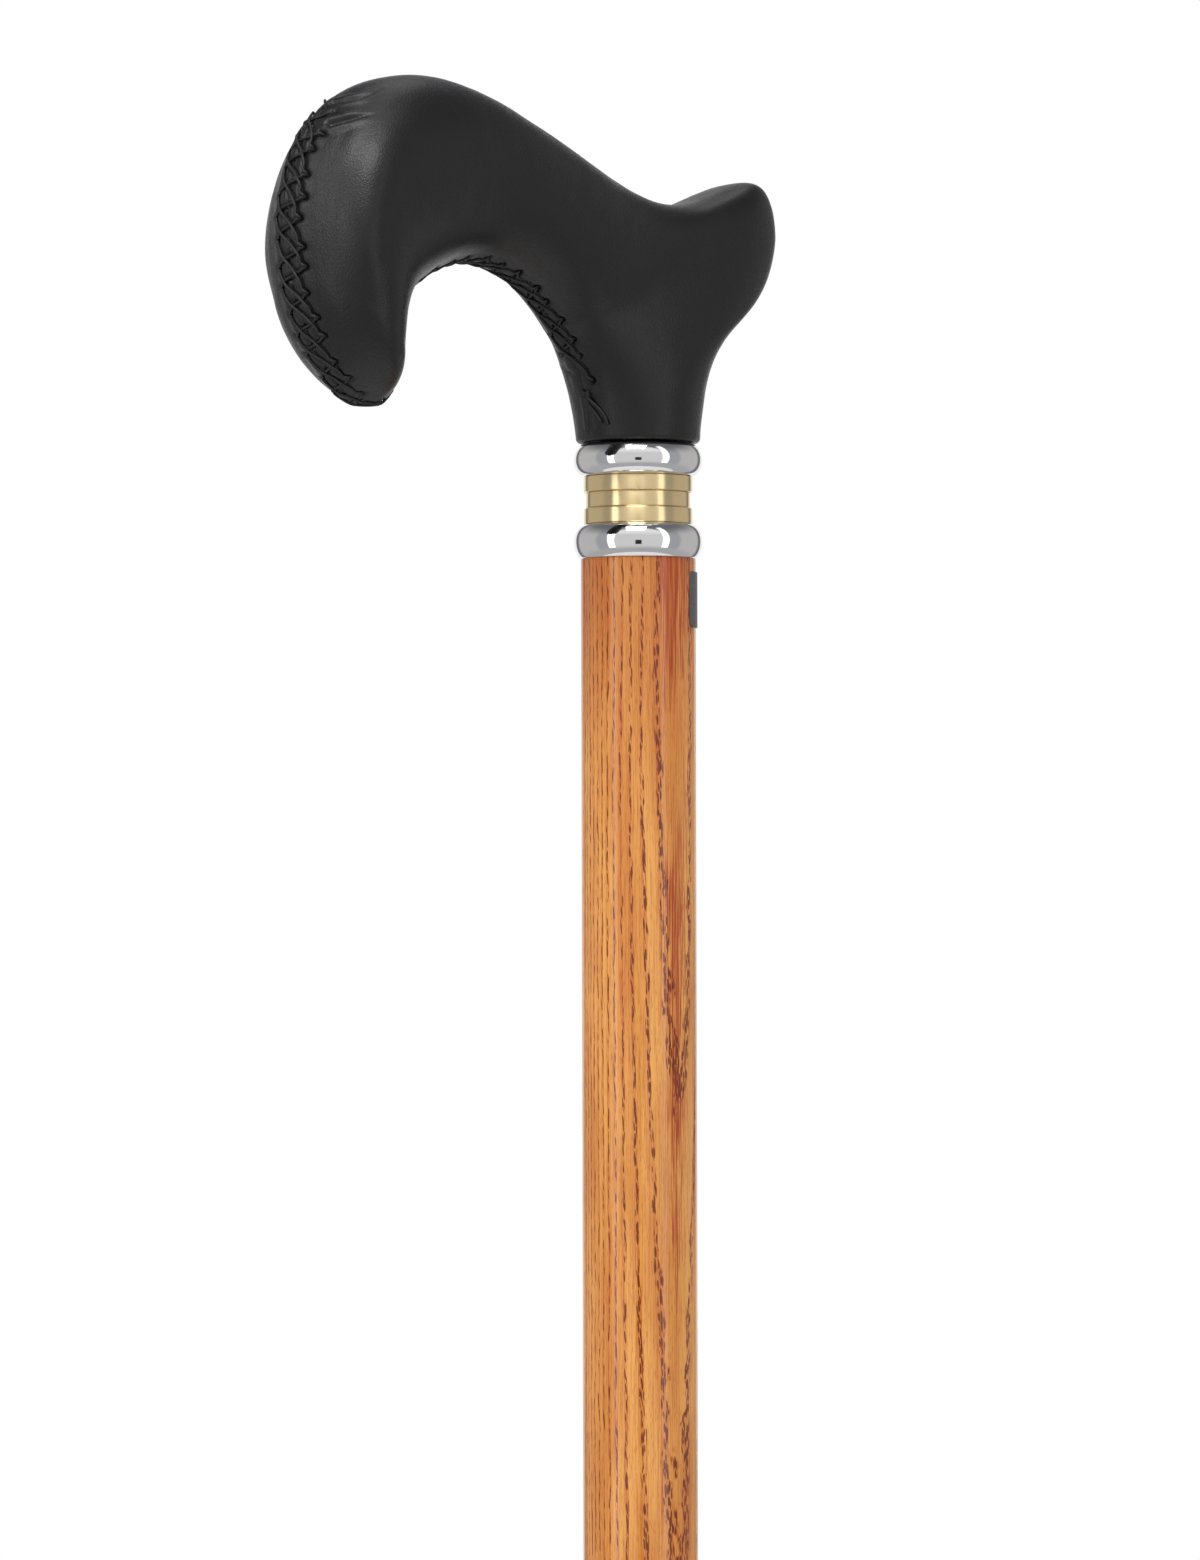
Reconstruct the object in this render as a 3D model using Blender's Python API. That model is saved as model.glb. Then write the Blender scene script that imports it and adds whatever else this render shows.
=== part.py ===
"""Derby cane: a leather-covered handle on a tapered ash shaft, with a two-tone metal collar and a rubber ferrule.

Metres, +Z up. The origin is the middle of the ferrule's sole, the shaft stands along +Z, and the handle's
nose points to -X. Every piece is one closed solid, and pieces that touch keep SEAT_GAP between them.
"""
import math

import bmesh
import bpy
from mathutils import Vector

# Overall
TOTAL_LENGTH = 0.914
SEAT_GAP = 0.0003

# Rubber ferrule and the steel washer in its socket
FERRULE_HEIGHT = 0.038
FERRULE_FLOOR = 0.0085
FERRULE_WALL = 0.0032
FERRULE_FOOT_FLARE = 0.0057
FERRULE_FOOT_HEIGHT = 0.0065
FERRULE_EDGE_ROUND = 0.0012
FERRULE_BEAD_PROUD = 0.0008
FERRULE_BEAD_HEIGHT = 0.0036
SOLE_PAD_RADIUS = 0.0048
SOLE_GROOVE_WIDTH = 0.0014
SOLE_GROOVE_DEPTH = 0.0010
SOLE_GROOVES = 3
WASHER_THICKNESS = 0.0015

# Ash shaft
SHAFT_RADIUS = 0.0110
SHAFT_TIP_RADIUS = 0.00975
SHAFT_STRAIGHT_LENGTH = 0.260
SHAFT_END_CHAMFER = 0.0008
TENON_RADIUS = 0.0065
TENON_RISE = 0.0140
TENON_CHAMFER = 0.0006

# Label wrapped round the back of the shaft
LABEL_WIDTH = 0.0275
LABEL_HEIGHT = 0.0107
LABEL_CORNER_RADIUS = 0.0010
LABEL_THICKNESS = 0.00025
LABEL_DROP = 0.0027

# Collar: a chrome bead, three brass bands, a chrome bead
CHROME_RING_HEIGHT = 0.0060
CHROME_RING_PROUD = 0.00135
CHROME_RING_BULGE = 0.0023
BRASS_RING_HEIGHT = 0.00273
BRASS_RING_SETBACK = 0.00057
BRASS_MIDDLE_STEP = 0.00043
BRASS_EDGE_BEVEL = 0.00022

# Double-ended dowel screw between the shaft and the handle
SCREW_RADIUS = 0.0030
SCREW_THREAD_DEPTH = 0.0006
SCREW_PITCH = 0.0025
SCREW_POINT_LENGTH = 0.0040
SCREW_DEPTH_IN_SHAFT = 0.0290
WOOD_OVER_SCREW = 0.0060

# Handle, measured on its leather
HANDLE_HEIGHT = 0.0640
NOSE_REACH = 0.0844
KNOB_REACH = 0.0312
GRIP_HALF_WIDTH = 0.0152
STEM_PROUD = 0.0008
STEM_FLARE = 0.0005
STEM_FLARE_SHARE = 0.065
LEATHER_THICKNESS = 0.0014
LEATHER_EDGE_ROLL = 0.0007
LEATHER_MOUTH_MARGIN = 0.0012

# Sewn seam along the underside and the nose
SEAM_HALF_WIDTH = 0.0033
SEAM_LATERAL_RADIUS = 0.0300
STITCH_PITCH = 0.0048
THREAD_RADIUS = 0.00032
SEAM_LIFT = 0.00012
SEAM_FOOT_STATION = 3.0
SEAM_TOP_STATION = 13.5

# Facets
TURNED_SIDES = 40
SCREW_SIDES = 16
HANDLE_SIDES = 24
RINGS_PER_STATION = 2
TIP_RINGS = 5
BEAD_STEPS = 9
LABEL_COLUMNS = 28
SEAM_STEPS = 8
LEAST_RING_STEP = 0.1

# The handle's rings, fanned round the arch from the stem to the nose. Each row gives a ring's inner point
# (x, z), its outer point (x, z) and its half-width. A negative x is a share of NOSE_REACH, a positive x a
# share of KNOB_REACH, z a share of HANDLE_HEIGHT and the last number a share of GRIP_HALF_WIDTH. A smooth
# cubic takes these rows as its control points, so it runs close by them and not through them.
HANDLE_STATIONS = (
    (-0.150, 0.095, 0.435, 0.255, 0.855),
    (-0.155, 0.130, 0.630, 0.380, 0.855),
    (-0.165, 0.170, 0.900, 0.470, 0.855),
    (-0.175, 0.205, 1.035, 0.650, 0.830),
    (-0.195, 0.240, 0.960, 0.830, 0.760),
    (-0.220, 0.290, 0.720, 0.810, 0.690),
    (-0.260, 0.350, 0.375, 0.720, 0.690),
    (-0.310, 0.410, -0.005, 0.710, 0.755),
    (-0.370, 0.460, -0.170, 0.805, 0.815),
    (-0.435, 0.490, -0.340, 0.905, 0.855),
    (-0.500, 0.500, -0.505, 0.985, 0.880),
    (-0.570, 0.485, -0.670, 1.015, 0.910),
    (-0.650, 0.440, -0.840, 0.960, 0.950),
    (-0.720, 0.365, -0.965, 0.800, 0.990),
    (-0.745, 0.265, -1.010, 0.570, 1.020),
    (-0.745, 0.175, -0.985, 0.385, 0.890),
)
NOSE_TIP = (0.043, -0.203)

# A ring longer than it is wide is drawn with flatter sides: the rise of its power, and where the rise ends
SIDE_FLATNESS = 0.9
FLATTEST_RING = 1.2

# The ferrule's concave flare above its foot, as shares of the flare (out from the neck, up from the foot)
FLARE_CURVE = ((0.50, 0.35), (0.15, 1.00), (0.00, 2.00))

# One stitch: places along it as shares of the pitch, and the side of the seam the thread is on there
STITCH_PATH = ((0.00, -1), (0.12, -1), (0.31, 0), (0.50, 1), (0.62, 1), (0.81, 0))

# Places that follow from the sizes above
COLLAR_TOP = TOTAL_LENGTH - HANDLE_HEIGHT - SEAT_GAP
COLLAR_HEIGHT = 2 * CHROME_RING_HEIGHT + 3 * BRASS_RING_HEIGHT + 5 * SEAT_GAP
COLLAR_BOTTOM = COLLAR_TOP - COLLAR_HEIGHT
TENON_TOP = COLLAR_TOP + TENON_RISE
RING_BORE_RADIUS = TENON_RADIUS + SEAT_GAP
TAPER_TOP = COLLAR_BOTTOM - SHAFT_STRAIGHT_LENGTH
WASHER_BOTTOM = FERRULE_FLOOR + SEAT_GAP
SHAFT_TIP = WASHER_BOTTOM + WASHER_THICKNESS + SEAT_GAP
HANDLE_BASE = COLLAR_TOP + SEAT_GAP
CORE_BASE = HANDLE_BASE + LEATHER_THICKNESS + SEAT_GAP
STEM_RADIUS = SHAFT_RADIUS + STEM_PROUD
CORE_INSET = LEATHER_THICKNESS + SEAT_GAP


def shaft_radius(z):
    """The shaft's radius at height z: straight under the collar, then tapered to its tip."""
    share = max(0.0, min(1.0, (TAPER_TOP - z) / (TAPER_TOP - SHAFT_TIP)))
    return SHAFT_RADIUS + (SHAFT_TIP_RADIUS - SHAFT_RADIUS) * share


SOCKET_RADIUS = shaft_radius(FERRULE_HEIGHT) + SEAT_GAP


def clear_scene():
    for old in list(bpy.data.objects):
        bpy.data.objects.remove(old, do_unlink=True)


def material(name, colour, roughness, metallic=0.0):
    made = bpy.data.materials.new(name)
    made.use_nodes = True
    shader = made.node_tree.nodes["Principled BSDF"]
    shader.inputs["Base Color"].default_value = (*colour, 1.0)
    shader.inputs["Roughness"].default_value = roughness
    shader.inputs["Metallic"].default_value = metallic
    made.diffuse_color = (*colour, 1.0)
    return made


def add_object(name, data, finish, sharp_angle=35.0):
    """Puts a mesh in the scene under a node's name, with its material and smooth shading."""
    data.materials.append(finish)
    made = bpy.data.objects.new(name, data)
    bpy.context.scene.collection.objects.link(made)
    if isinstance(data, bpy.types.Mesh):
        data.shade_smooth()
        data.set_sharp_from_angle(angle=math.radians(sharp_angle))
    return made


def finish_mesh(bm, name):
    bmesh.ops.remove_doubles(bm, verts=bm.verts, dist=1e-6)
    bmesh.ops.recalc_face_normals(bm, faces=bm.faces)
    data = bpy.data.meshes.new(name)
    bm.to_mesh(data)
    bm.free()
    return data


def turned(name, profile, finish, closed=False, sides=TURNED_SIDES):
    """Spins a profile of (radius, z) points round the Z axis. A closed profile makes a ring."""
    bm = bmesh.new()
    points = [bm.verts.new((radius, 0.0, z)) for radius, z in profile]
    edges = [bm.edges.new(pair) for pair in zip(points, points[1:])]
    if closed:
        edges.append(bm.edges.new((points[-1], points[0])))
    bmesh.ops.spin(bm, geom=points + edges, cent=(0, 0, 0), axis=(0, 0, 1), dvec=(0, 0, 0),
                   angle=math.tau, steps=sides, use_merge=True)
    return add_object(name, finish_mesh(bm, name), finish)


def lofted(name, rings, finish):
    """Skins a chain of rings of points. A ring of one point closes an end."""
    bm = bmesh.new()
    loops = [[bm.verts.new(point) for point in ring] for ring in rings]
    for low, high in zip(loops, loops[1:]):
        count = max(len(low), len(high))
        for i in range(count):
            j = (i + 1) % count
            if len(low) == 1:
                bm.faces.new((low[0], high[j], high[i]))
            elif len(high) == 1:
                bm.faces.new((low[i], low[j], high[0]))
            else:
                bm.faces.new((low[i], low[j], high[j], high[i]))
    return add_object(name, finish_mesh(bm, name), finish, sharp_angle=50.0)


def circle(radius, z, sides=HANDLE_SIDES):
    """A level ring round the Z axis, starting at -X as the handle's rings do."""
    angles = [math.tau * i / sides for i in range(sides)]
    return [Vector((-radius * math.cos(a), radius * math.sin(a), z)) for a in angles]


def handle_stations():
    """The handle's control rows in metres, above the leather's lower edge."""
    def reach(share):
        return share * (NOSE_REACH if share < 0 else KNOB_REACH)

    flared = STEM_RADIUS + STEM_FLARE
    flare_height = STEM_FLARE_SHARE * HANDLE_HEIGHT
    rows = [
        (-STEM_RADIUS, 0.0, STEM_RADIUS, 0.0, STEM_RADIUS),
        (-flared, flare_height, flared, flare_height, flared),
    ]
    for inner_x, inner_z, outer_x, outer_z, half_width in HANDLE_STATIONS:
        rows.append((reach(inner_x), inner_z * HANDLE_HEIGHT, reach(outer_x), outer_z * HANDLE_HEIGHT,
                     half_width * GRIP_HALF_WIDTH))
    return rows


STATIONS = handle_stations()
LAST_STATION = len(STATIONS) - 1


def smooth_row(s):
    """The cubic through the stations at s, from 0 at the leather's edge to LAST_STATION at the nose."""
    first = [2 * a - b for a, b in zip(STATIONS[0], STATIONS[1])]
    last = [2 * a - b for a, b in zip(STATIONS[-1], STATIONS[-2])]
    rows = [first, *STATIONS, last]
    i = min(int(s), LAST_STATION - 1)
    t = s - i
    weights = ((1 - t) ** 3, 3 * t ** 3 - 6 * t ** 2 + 4, -3 * t ** 3 + 3 * t ** 2 + 3 * t + 1, t ** 3)
    return [sum(w * row[k] for w, row in zip(weights, rows[i:i + 4])) / 6 for k in range(5)]


def ring_frame(s, inset=0.0):
    """A ring's middle, the vector from it to the outer point, and its half-width. Past LAST_STATION
    the rings close the nose's tip as a quarter ellipse."""
    inner_x, inner_z, outer_x, outer_z, half_width = smooth_row(min(s, LAST_STATION))
    inner = Vector((inner_x, 0, inner_z + HANDLE_BASE))
    outer = Vector((outer_x, 0, outer_z + HANDLE_BASE))
    middle = (inner + outer) / 2
    arm = (outer - inner) / 2
    arm -= arm.normalized() * inset
    half_width -= inset
    if s > LAST_STATION:
        turn = (s - LAST_STATION) * math.pi / 2
        tip = Vector((NOSE_TIP[0] * NOSE_REACH, 0, NOSE_TIP[1] * HANDLE_HEIGHT))
        tip -= tip.normalized() * inset
        middle += tip * math.sin(turn)
        arm *= math.cos(turn)
        half_width *= math.cos(turn)
    return middle, arm, half_width


def roundness(arm, half_width):
    """The power of a ring's superellipse: 2 on a round ring, and more on a long one, whose sides are flatter."""
    if half_width <= 0:
        return 2
    longer = arm.length / half_width - 1
    return 2 + SIDE_FLATNESS * max(0.0, min(FLATTEST_RING, longer))


def handle_ring(s, inset=0.0):
    """One ring of points on the handle, from its inner point round the near side and back."""
    middle, arm, half_width = ring_frame(s, inset)
    power = 2 / roundness(arm, half_width)
    ring = []
    for i in range(HANDLE_SIDES):
        angle = math.tau * i / HANDLE_SIDES
        along = -math.copysign(abs(math.cos(angle)) ** power, math.cos(angle))
        across = math.copysign(abs(math.sin(angle)) ** power, math.sin(angle))
        ring.append(middle + arm * along + Vector((0, half_width * across, 0)))
    return ring


def handle_rings(foot, inset=0.0):
    """The handle's rings from a level one at height foot to the tip's pole."""
    start = station_at_height(foot)
    rings = [[Vector((point.x, point.y, foot)) for point in handle_ring(start, inset)]]
    for k in range(1, LAST_STATION * RINGS_PER_STATION + 1):
        s = k / RINGS_PER_STATION
        if s > start + LEAST_RING_STEP:
            rings.append(handle_ring(s, inset))
    for k in range(1, TIP_RINGS):
        rings.append(handle_ring(LAST_STATION + k / TIP_RINGS, inset))
    rings.append([ring_frame(LAST_STATION + 1, inset)[0]])
    return rings


def find_station(value, target, low, high):
    """The station between low and high at which a rising value(s) reaches the target."""
    for _ in range(40):
        s = (low + high) / 2
        if value(s) < target:
            low = s
        else:
            high = s
    return low


def station_at_height(z):
    """The station on the stem whose ring lies at height z."""
    return find_station(lambda s: ring_frame(s)[0].z, z, 0.0, 2.0)


def height_over_stem():
    """The height of the handle's outer line straight above the shaft's axis."""
    def outer_x(s):
        middle, arm, _ = ring_frame(s)
        return (middle + arm).x

    s = find_station(lambda s: -outer_x(s), 0.0, 6.0, 10.0)
    middle, arm, _ = ring_frame(s)
    return (middle + arm).z


SCREW_TOP = height_over_stem() - CORE_INSET - WOOD_OVER_SCREW
SCREW_BOTTOM = TENON_TOP - SCREW_DEPTH_IN_SHAFT
SCREW_BORE_RADIUS = SCREW_RADIUS + SEAT_GAP


def make_ferrule(rubber):
    neck = SOCKET_RADIUS + FERRULE_WALL
    foot = neck + FERRULE_FOOT_FLARE
    bead = neck + FERRULE_BEAD_PROUD
    edge = FERRULE_EDGE_ROUND
    bead_low = FERRULE_HEIGHT - FERRULE_BEAD_HEIGHT
    bead_round = 0.3 * FERRULE_BEAD_HEIGHT
    profile = [(0, 0), (SOLE_PAD_RADIUS, 0)]
    land = (foot - edge - SOLE_PAD_RADIUS) / SOLE_GROOVES
    for i in range(SOLE_GROOVES):
        start = SOLE_PAD_RADIUS + i * land
        end = start + SOLE_GROOVE_WIDTH
        profile += [(start, SOLE_GROOVE_DEPTH), (end, SOLE_GROOVE_DEPTH), (end, 0)]
        profile.append((start + land, 0))
    profile += [
        (foot - 0.3 * edge, 0.3 * edge),
        (foot, edge),
        (foot, FERRULE_FOOT_HEIGHT - edge),
        (foot - 0.5 * edge, FERRULE_FOOT_HEIGHT),
    ]
    for out, up in FLARE_CURVE:
        profile.append((neck + out * FERRULE_FOOT_FLARE, FERRULE_FOOT_HEIGHT + up * FERRULE_FOOT_FLARE))
    profile += [
        (neck, bead_low),
        (bead, bead_low + bead_round),
        (bead, FERRULE_HEIGHT - bead_round),
        (neck, FERRULE_HEIGHT),
        (SOCKET_RADIUS, FERRULE_HEIGHT),
        (SOCKET_RADIUS, FERRULE_FLOOR),
        (0, FERRULE_FLOOR),
    ]
    turned("ferrule", profile, rubber)


def make_ferrule_washer(steel):
    radius = SOCKET_RADIUS - SEAT_GAP
    top = WASHER_BOTTOM + WASHER_THICKNESS
    turned("ferrule_washer", [(0, WASHER_BOTTOM), (radius, WASHER_BOTTOM), (radius, top), (0, top)], steel)


def make_shaft(ash):
    bore_end = SCREW_BOTTOM - SEAT_GAP
    profile = [
        (0, SHAFT_TIP),
        (SHAFT_TIP_RADIUS - SHAFT_END_CHAMFER, SHAFT_TIP),
        (SHAFT_TIP_RADIUS, SHAFT_TIP + SHAFT_END_CHAMFER),
        (SHAFT_RADIUS, TAPER_TOP),
        (SHAFT_RADIUS, COLLAR_BOTTOM - SHAFT_END_CHAMFER / 2),
        (SHAFT_RADIUS - SHAFT_END_CHAMFER / 2, COLLAR_BOTTOM),
        (TENON_RADIUS, COLLAR_BOTTOM),
        (TENON_RADIUS, TENON_TOP - TENON_CHAMFER),
        (TENON_RADIUS - TENON_CHAMFER, TENON_TOP),
        (SCREW_BORE_RADIUS, TENON_TOP),
        (SCREW_BORE_RADIUS, bore_end),
        (0, bore_end),
    ]
    turned("shaft", profile, ash)


def make_shaft_label(plate):
    """A thin plate bent round the shaft's back, with rounded corners."""
    inner = SHAFT_RADIUS + SEAT_GAP
    outer = inner + LABEL_THICKNESS
    middle_z = COLLAR_BOTTOM - LABEL_DROP - LABEL_HEIGHT / 2
    flat_half = LABEL_WIDTH / 2 - LABEL_CORNER_RADIUS
    corner = [LABEL_CORNER_RADIUS * math.sin(math.radians(a)) for a in (30, 60, 90)]
    straight = [flat_half * (2 * i / LABEL_COLUMNS - 1) for i in range(LABEL_COLUMNS + 1)]
    places = [-flat_half - step for step in reversed(corner)] + straight + [flat_half + step for step in corner]
    rings = []
    for place in places:
        past = max(0.0, abs(place) - flat_half)
        rounding = LABEL_CORNER_RADIUS - math.sqrt(max(0.0, LABEL_CORNER_RADIUS ** 2 - past ** 2))
        half = LABEL_HEIGHT / 2 - rounding
        angle = place / outer
        rings.append([
            Vector((radius * math.cos(angle), radius * math.sin(angle), middle_z + side * half))
            for radius, side in ((outer, -1), (outer, 1), (inner, 1), (inner, -1))
        ])
    bm = bmesh.new()
    loops = [[bm.verts.new(point) for point in ring] for ring in rings]
    for low, high in zip(loops, loops[1:]):
        for i in range(4):
            j = (i + 1) % 4
            bm.faces.new((low[i], low[j], high[j], high[i]))
    bm.faces.new(loops[0])
    bm.faces.new(loops[-1])
    add_object("shaft_label", finish_mesh(bm, "shaft_label"), plate)


def make_chrome_ring(name, bottom, chrome):
    """A bead ring: flat ends, and an outer side that bulges as half an ellipse."""
    ring_radius = SHAFT_RADIUS + CHROME_RING_PROUD
    shoulder = ring_radius - CHROME_RING_BULGE
    half_height = CHROME_RING_HEIGHT / 2
    profile = [(RING_BORE_RADIUS, bottom)]
    for i in range(BEAD_STEPS + 1):
        angle = math.pi * (i / BEAD_STEPS - 0.5)
        profile.append((shoulder + CHROME_RING_BULGE * math.cos(angle),
                        bottom + half_height * (1 + math.sin(angle))))
    profile.append((RING_BORE_RADIUS, bottom + CHROME_RING_HEIGHT))
    turned(name, profile, chrome, closed=True)


def make_brass_ring(name, bottom, radius, brass):
    top = bottom + BRASS_RING_HEIGHT
    bevel = BRASS_EDGE_BEVEL
    profile = [
        (RING_BORE_RADIUS, bottom),
        (radius - bevel, bottom),
        (radius, bottom + bevel),
        (radius, top - bevel),
        (radius - bevel, top),
        (RING_BORE_RADIUS, top),
    ]
    turned(name, profile, brass, closed=True)


def make_collar(chrome, brass):
    """Stacks the five rings on the shaft's tenon, from its shoulder up."""
    wide = SHAFT_RADIUS - BRASS_RING_SETBACK
    bottom = COLLAR_BOTTOM + SEAT_GAP
    make_chrome_ring("lower_chrome_ring", bottom, chrome)
    bottom += CHROME_RING_HEIGHT + SEAT_GAP
    for name, radius in (("brass_ring_lower", wide), ("brass_ring_middle", wide - BRASS_MIDDLE_STEP),
                         ("brass_ring_upper", wide)):
        make_brass_ring(name, bottom, radius, brass)
        bottom += BRASS_RING_HEIGHT + SEAT_GAP
    make_chrome_ring("upper_chrome_ring", bottom, chrome)


def make_dowel_screw(steel):
    """A rod pointed at both ends, with ridges for its two threads and a plain grip between them."""
    root = SCREW_RADIUS - SCREW_THREAD_DEPTH
    low = SCREW_BOTTOM + SCREW_POINT_LENGTH
    high = SCREW_TOP - SCREW_POINT_LENGTH
    plain_low = (low + high) / 2 - SCREW_PITCH
    plain_high = (low + high) / 2 + SCREW_PITCH
    profile = [(0, SCREW_BOTTOM), (root, low)]
    ridge = SCREW_PITCH / 2
    for start, end in ((low, plain_low), (plain_high, high)):
        count = int((end - start) / SCREW_PITCH)
        for i in range(count):
            foot = start + (i + 0.25) * SCREW_PITCH
            profile += [(root, foot), (SCREW_RADIUS, foot + ridge / 2), (root, foot + ridge)]
        profile.append((root, end))
    profile.append((0, SCREW_TOP))
    turned("dowel_screw", profile, steel, sides=SCREW_SIDES)


def make_handle_core(beech):
    """The carved wooden core, with a pocket for the tenon and a bore for the screw."""
    pocket_radius = TENON_RADIUS + SEAT_GAP
    pocket_top = TENON_TOP + SEAT_GAP
    bore_top = SCREW_TOP + SEAT_GAP
    rings = [
        [Vector((0, 0, bore_top))],
        circle(SCREW_BORE_RADIUS, bore_top),
        circle(SCREW_BORE_RADIUS, pocket_top),
        circle(pocket_radius, pocket_top),
        circle(pocket_radius, CORE_BASE),
    ]
    rings += handle_rings(CORE_BASE, CORE_INSET)
    lofted("handle_core", rings, beech)


def make_leather_cover(leather):
    """The sewn leather over the core, turned in under the core's foot round the tenon."""
    mouth = TENON_RADIUS + LEATHER_MOUTH_MARGIN
    inside_foot = HANDLE_BASE + LEATHER_THICKNESS
    inside = handle_rings(inside_foot, LEATHER_THICKNESS)
    outside = handle_rings(HANDLE_BASE + LEATHER_EDGE_ROLL)
    rolled = circle(STEM_RADIUS - LEATHER_EDGE_ROLL, HANDLE_BASE)
    rings = inside[::-1] + [circle(mouth, inside_foot), circle(mouth, HANDLE_BASE), rolled] + outside
    lofted("leather_cover", rings, leather)


def seam_line():
    """Points and outward directions along the seam: up the stem, under the arch, round the tip, up the nose."""
    places = []
    foot = round(SEAM_FOOT_STATION * SEAM_STEPS)
    top = round(SEAM_TOP_STATION * SEAM_STEPS)
    end = (LAST_STATION + 1) * SEAM_STEPS
    for k in range(foot, end + 1):
        places.append((k / SEAM_STEPS, -1))
    for k in range(end - 1, top - 1, -1):
        places.append((k / SEAM_STEPS, 1))
    points = []
    for s, side in places:
        middle, arm, _ = ring_frame(s)
        points.append(middle + arm * side)
    line = []
    for i, point in enumerate(points):
        along = (points[min(i + 1, len(points) - 1)] - points[max(i - 1, 0)]).normalized()
        line.append((point, Vector((-along.z, 0, along.x))))
    return line


def along_line(line, distance):
    """The point and outward direction at a distance along the seam."""
    for (a, out_a), (b, out_b) in zip(line, line[1:]):
        length = (b - a).length
        if distance <= length:
            share = distance / length
            return a.lerp(b, share), out_a.lerp(out_b, share).normalized()
        distance -= length
    return line[-1]


def make_seam_thread(thread):
    """One thread that zigzags over the seam from needle hole to needle hole."""
    line = seam_line()
    length = sum((b[0] - a[0]).length for a, b in zip(line, line[1:]))
    stitches = int(length / STITCH_PITCH)
    standoff = SEAT_GAP + THREAD_RADIUS + SEAM_LIFT
    points = []
    for stitch in range(stitches):
        for share, side in STITCH_PATH:
            middle, out = along_line(line, (stitch + share) * STITCH_PITCH)
            across = side * SEAM_HALF_WIDTH
            lift = standoff - across ** 2 / (2 * SEAM_LATERAL_RADIUS)
            points.append(middle + out * lift + Vector((0, across, 0)))
    data = bpy.data.curves.new("seam_thread", "CURVE")
    data.dimensions = "3D"
    data.bevel_depth = THREAD_RADIUS
    data.bevel_resolution = 1
    data.use_fill_caps = True
    spline = data.splines.new("POLY")
    spline.points.add(len(points) - 1)
    for place, point in zip(spline.points, points):
        place.co = (*point, 1.0)
    add_object("seam_thread", data, thread)


def main():
    clear_scene()
    rubber = material("black_rubber", (0.02, 0.02, 0.022), 0.75)
    steel = material("zinc_steel", (0.55, 0.56, 0.58), 0.35, 1.0)
    ash = material("stained_ash", (0.55, 0.25, 0.09), 0.32)
    plate = material("grey_label", (0.11, 0.11, 0.10), 0.45)
    chrome = material("polished_chrome", (0.80, 0.81, 0.83), 0.06, 1.0)
    brass = material("satin_brass", (0.72, 0.58, 0.34), 0.28, 1.0)
    beech = material("beech", (0.56, 0.38, 0.22), 0.6)
    leather = material("black_leather", (0.018, 0.018, 0.020), 0.45)
    thread = material("waxed_thread", (0.012, 0.012, 0.013), 0.5)

    make_ferrule(rubber)
    make_ferrule_washer(steel)
    make_shaft(ash)
    make_shaft_label(plate)
    make_collar(chrome, brass)
    make_dowel_screw(steel)
    make_handle_core(beech)
    make_leather_cover(leather)
    make_seam_thread(thread)


main()
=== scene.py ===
"""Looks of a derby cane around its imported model: hand-sewn leather handle, collar, ash shaft and ferrule.

Metres, +Z up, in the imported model's frame. The shaft stands on the origin, the handle's nose points to -X,
and the seam lies in the XZ plane.
"""
import math
from functools import partialmethod
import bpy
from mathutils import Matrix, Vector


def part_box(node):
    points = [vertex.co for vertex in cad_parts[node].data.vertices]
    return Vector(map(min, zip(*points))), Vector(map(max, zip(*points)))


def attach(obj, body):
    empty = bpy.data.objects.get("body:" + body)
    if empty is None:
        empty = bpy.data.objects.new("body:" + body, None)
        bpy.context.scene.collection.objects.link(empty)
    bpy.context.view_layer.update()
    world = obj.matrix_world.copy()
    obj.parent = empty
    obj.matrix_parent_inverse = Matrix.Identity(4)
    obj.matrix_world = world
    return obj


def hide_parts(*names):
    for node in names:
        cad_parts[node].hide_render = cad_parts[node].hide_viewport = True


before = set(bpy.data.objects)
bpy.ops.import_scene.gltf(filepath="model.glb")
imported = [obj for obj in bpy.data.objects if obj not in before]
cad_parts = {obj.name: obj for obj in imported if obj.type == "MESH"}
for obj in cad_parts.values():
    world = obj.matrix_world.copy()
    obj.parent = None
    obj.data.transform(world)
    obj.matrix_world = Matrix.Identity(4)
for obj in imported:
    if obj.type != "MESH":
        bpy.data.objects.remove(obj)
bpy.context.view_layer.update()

from types import SimpleNamespace

import bmesh
import bpy
import numpy as np
from bpy.props import FloatProperty, FloatVectorProperty, IntProperty, PointerProperty
from mathutils import Matrix, Vector, kdtree, noise
from mathutils.bvhtree import BVHTree

bl_info = {
    "name": "Derby cane looks",
    "version": (1, 0, 0),
    "blender": (4, 5, 0),
    "location": "3D View > Sidebar > Derby Cane",
    "description": "Builds the visible surfaces of a leather-handled derby cane",
    "category": "Object",
}

LEATHER_LOW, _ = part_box("leather_cover")
SHAFT_LOW, SHAFT_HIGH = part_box("shaft")
_, FERRULE_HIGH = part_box("ferrule")
LABEL_LOW, LABEL_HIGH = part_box("shaft_label")
LOWER_BEAD_LOW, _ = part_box("lower_chrome_ring")
HANDLE_BASE = LEATHER_LOW.z
SHAFT_RADIUS = SHAFT_HIGH.x
MAIN_BODY = "cane"
FOOT_BODY = "foot"

# The solids' gap between two rings of the collar, which the visible rings share out, and how much lower the
# lowest one sits on the shaft
SEAT_GAP = 0.0003
SHOULDER_DROP = 0.0003

# The shaft below its straight part
SHAFT_TIP_RADIUS = 0.00975
SHAFT_STRAIGHT_LENGTH = 0.260
SHAFT_CHAMFER = 0.0006
SHAFT_EDGE = 0.0001

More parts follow.
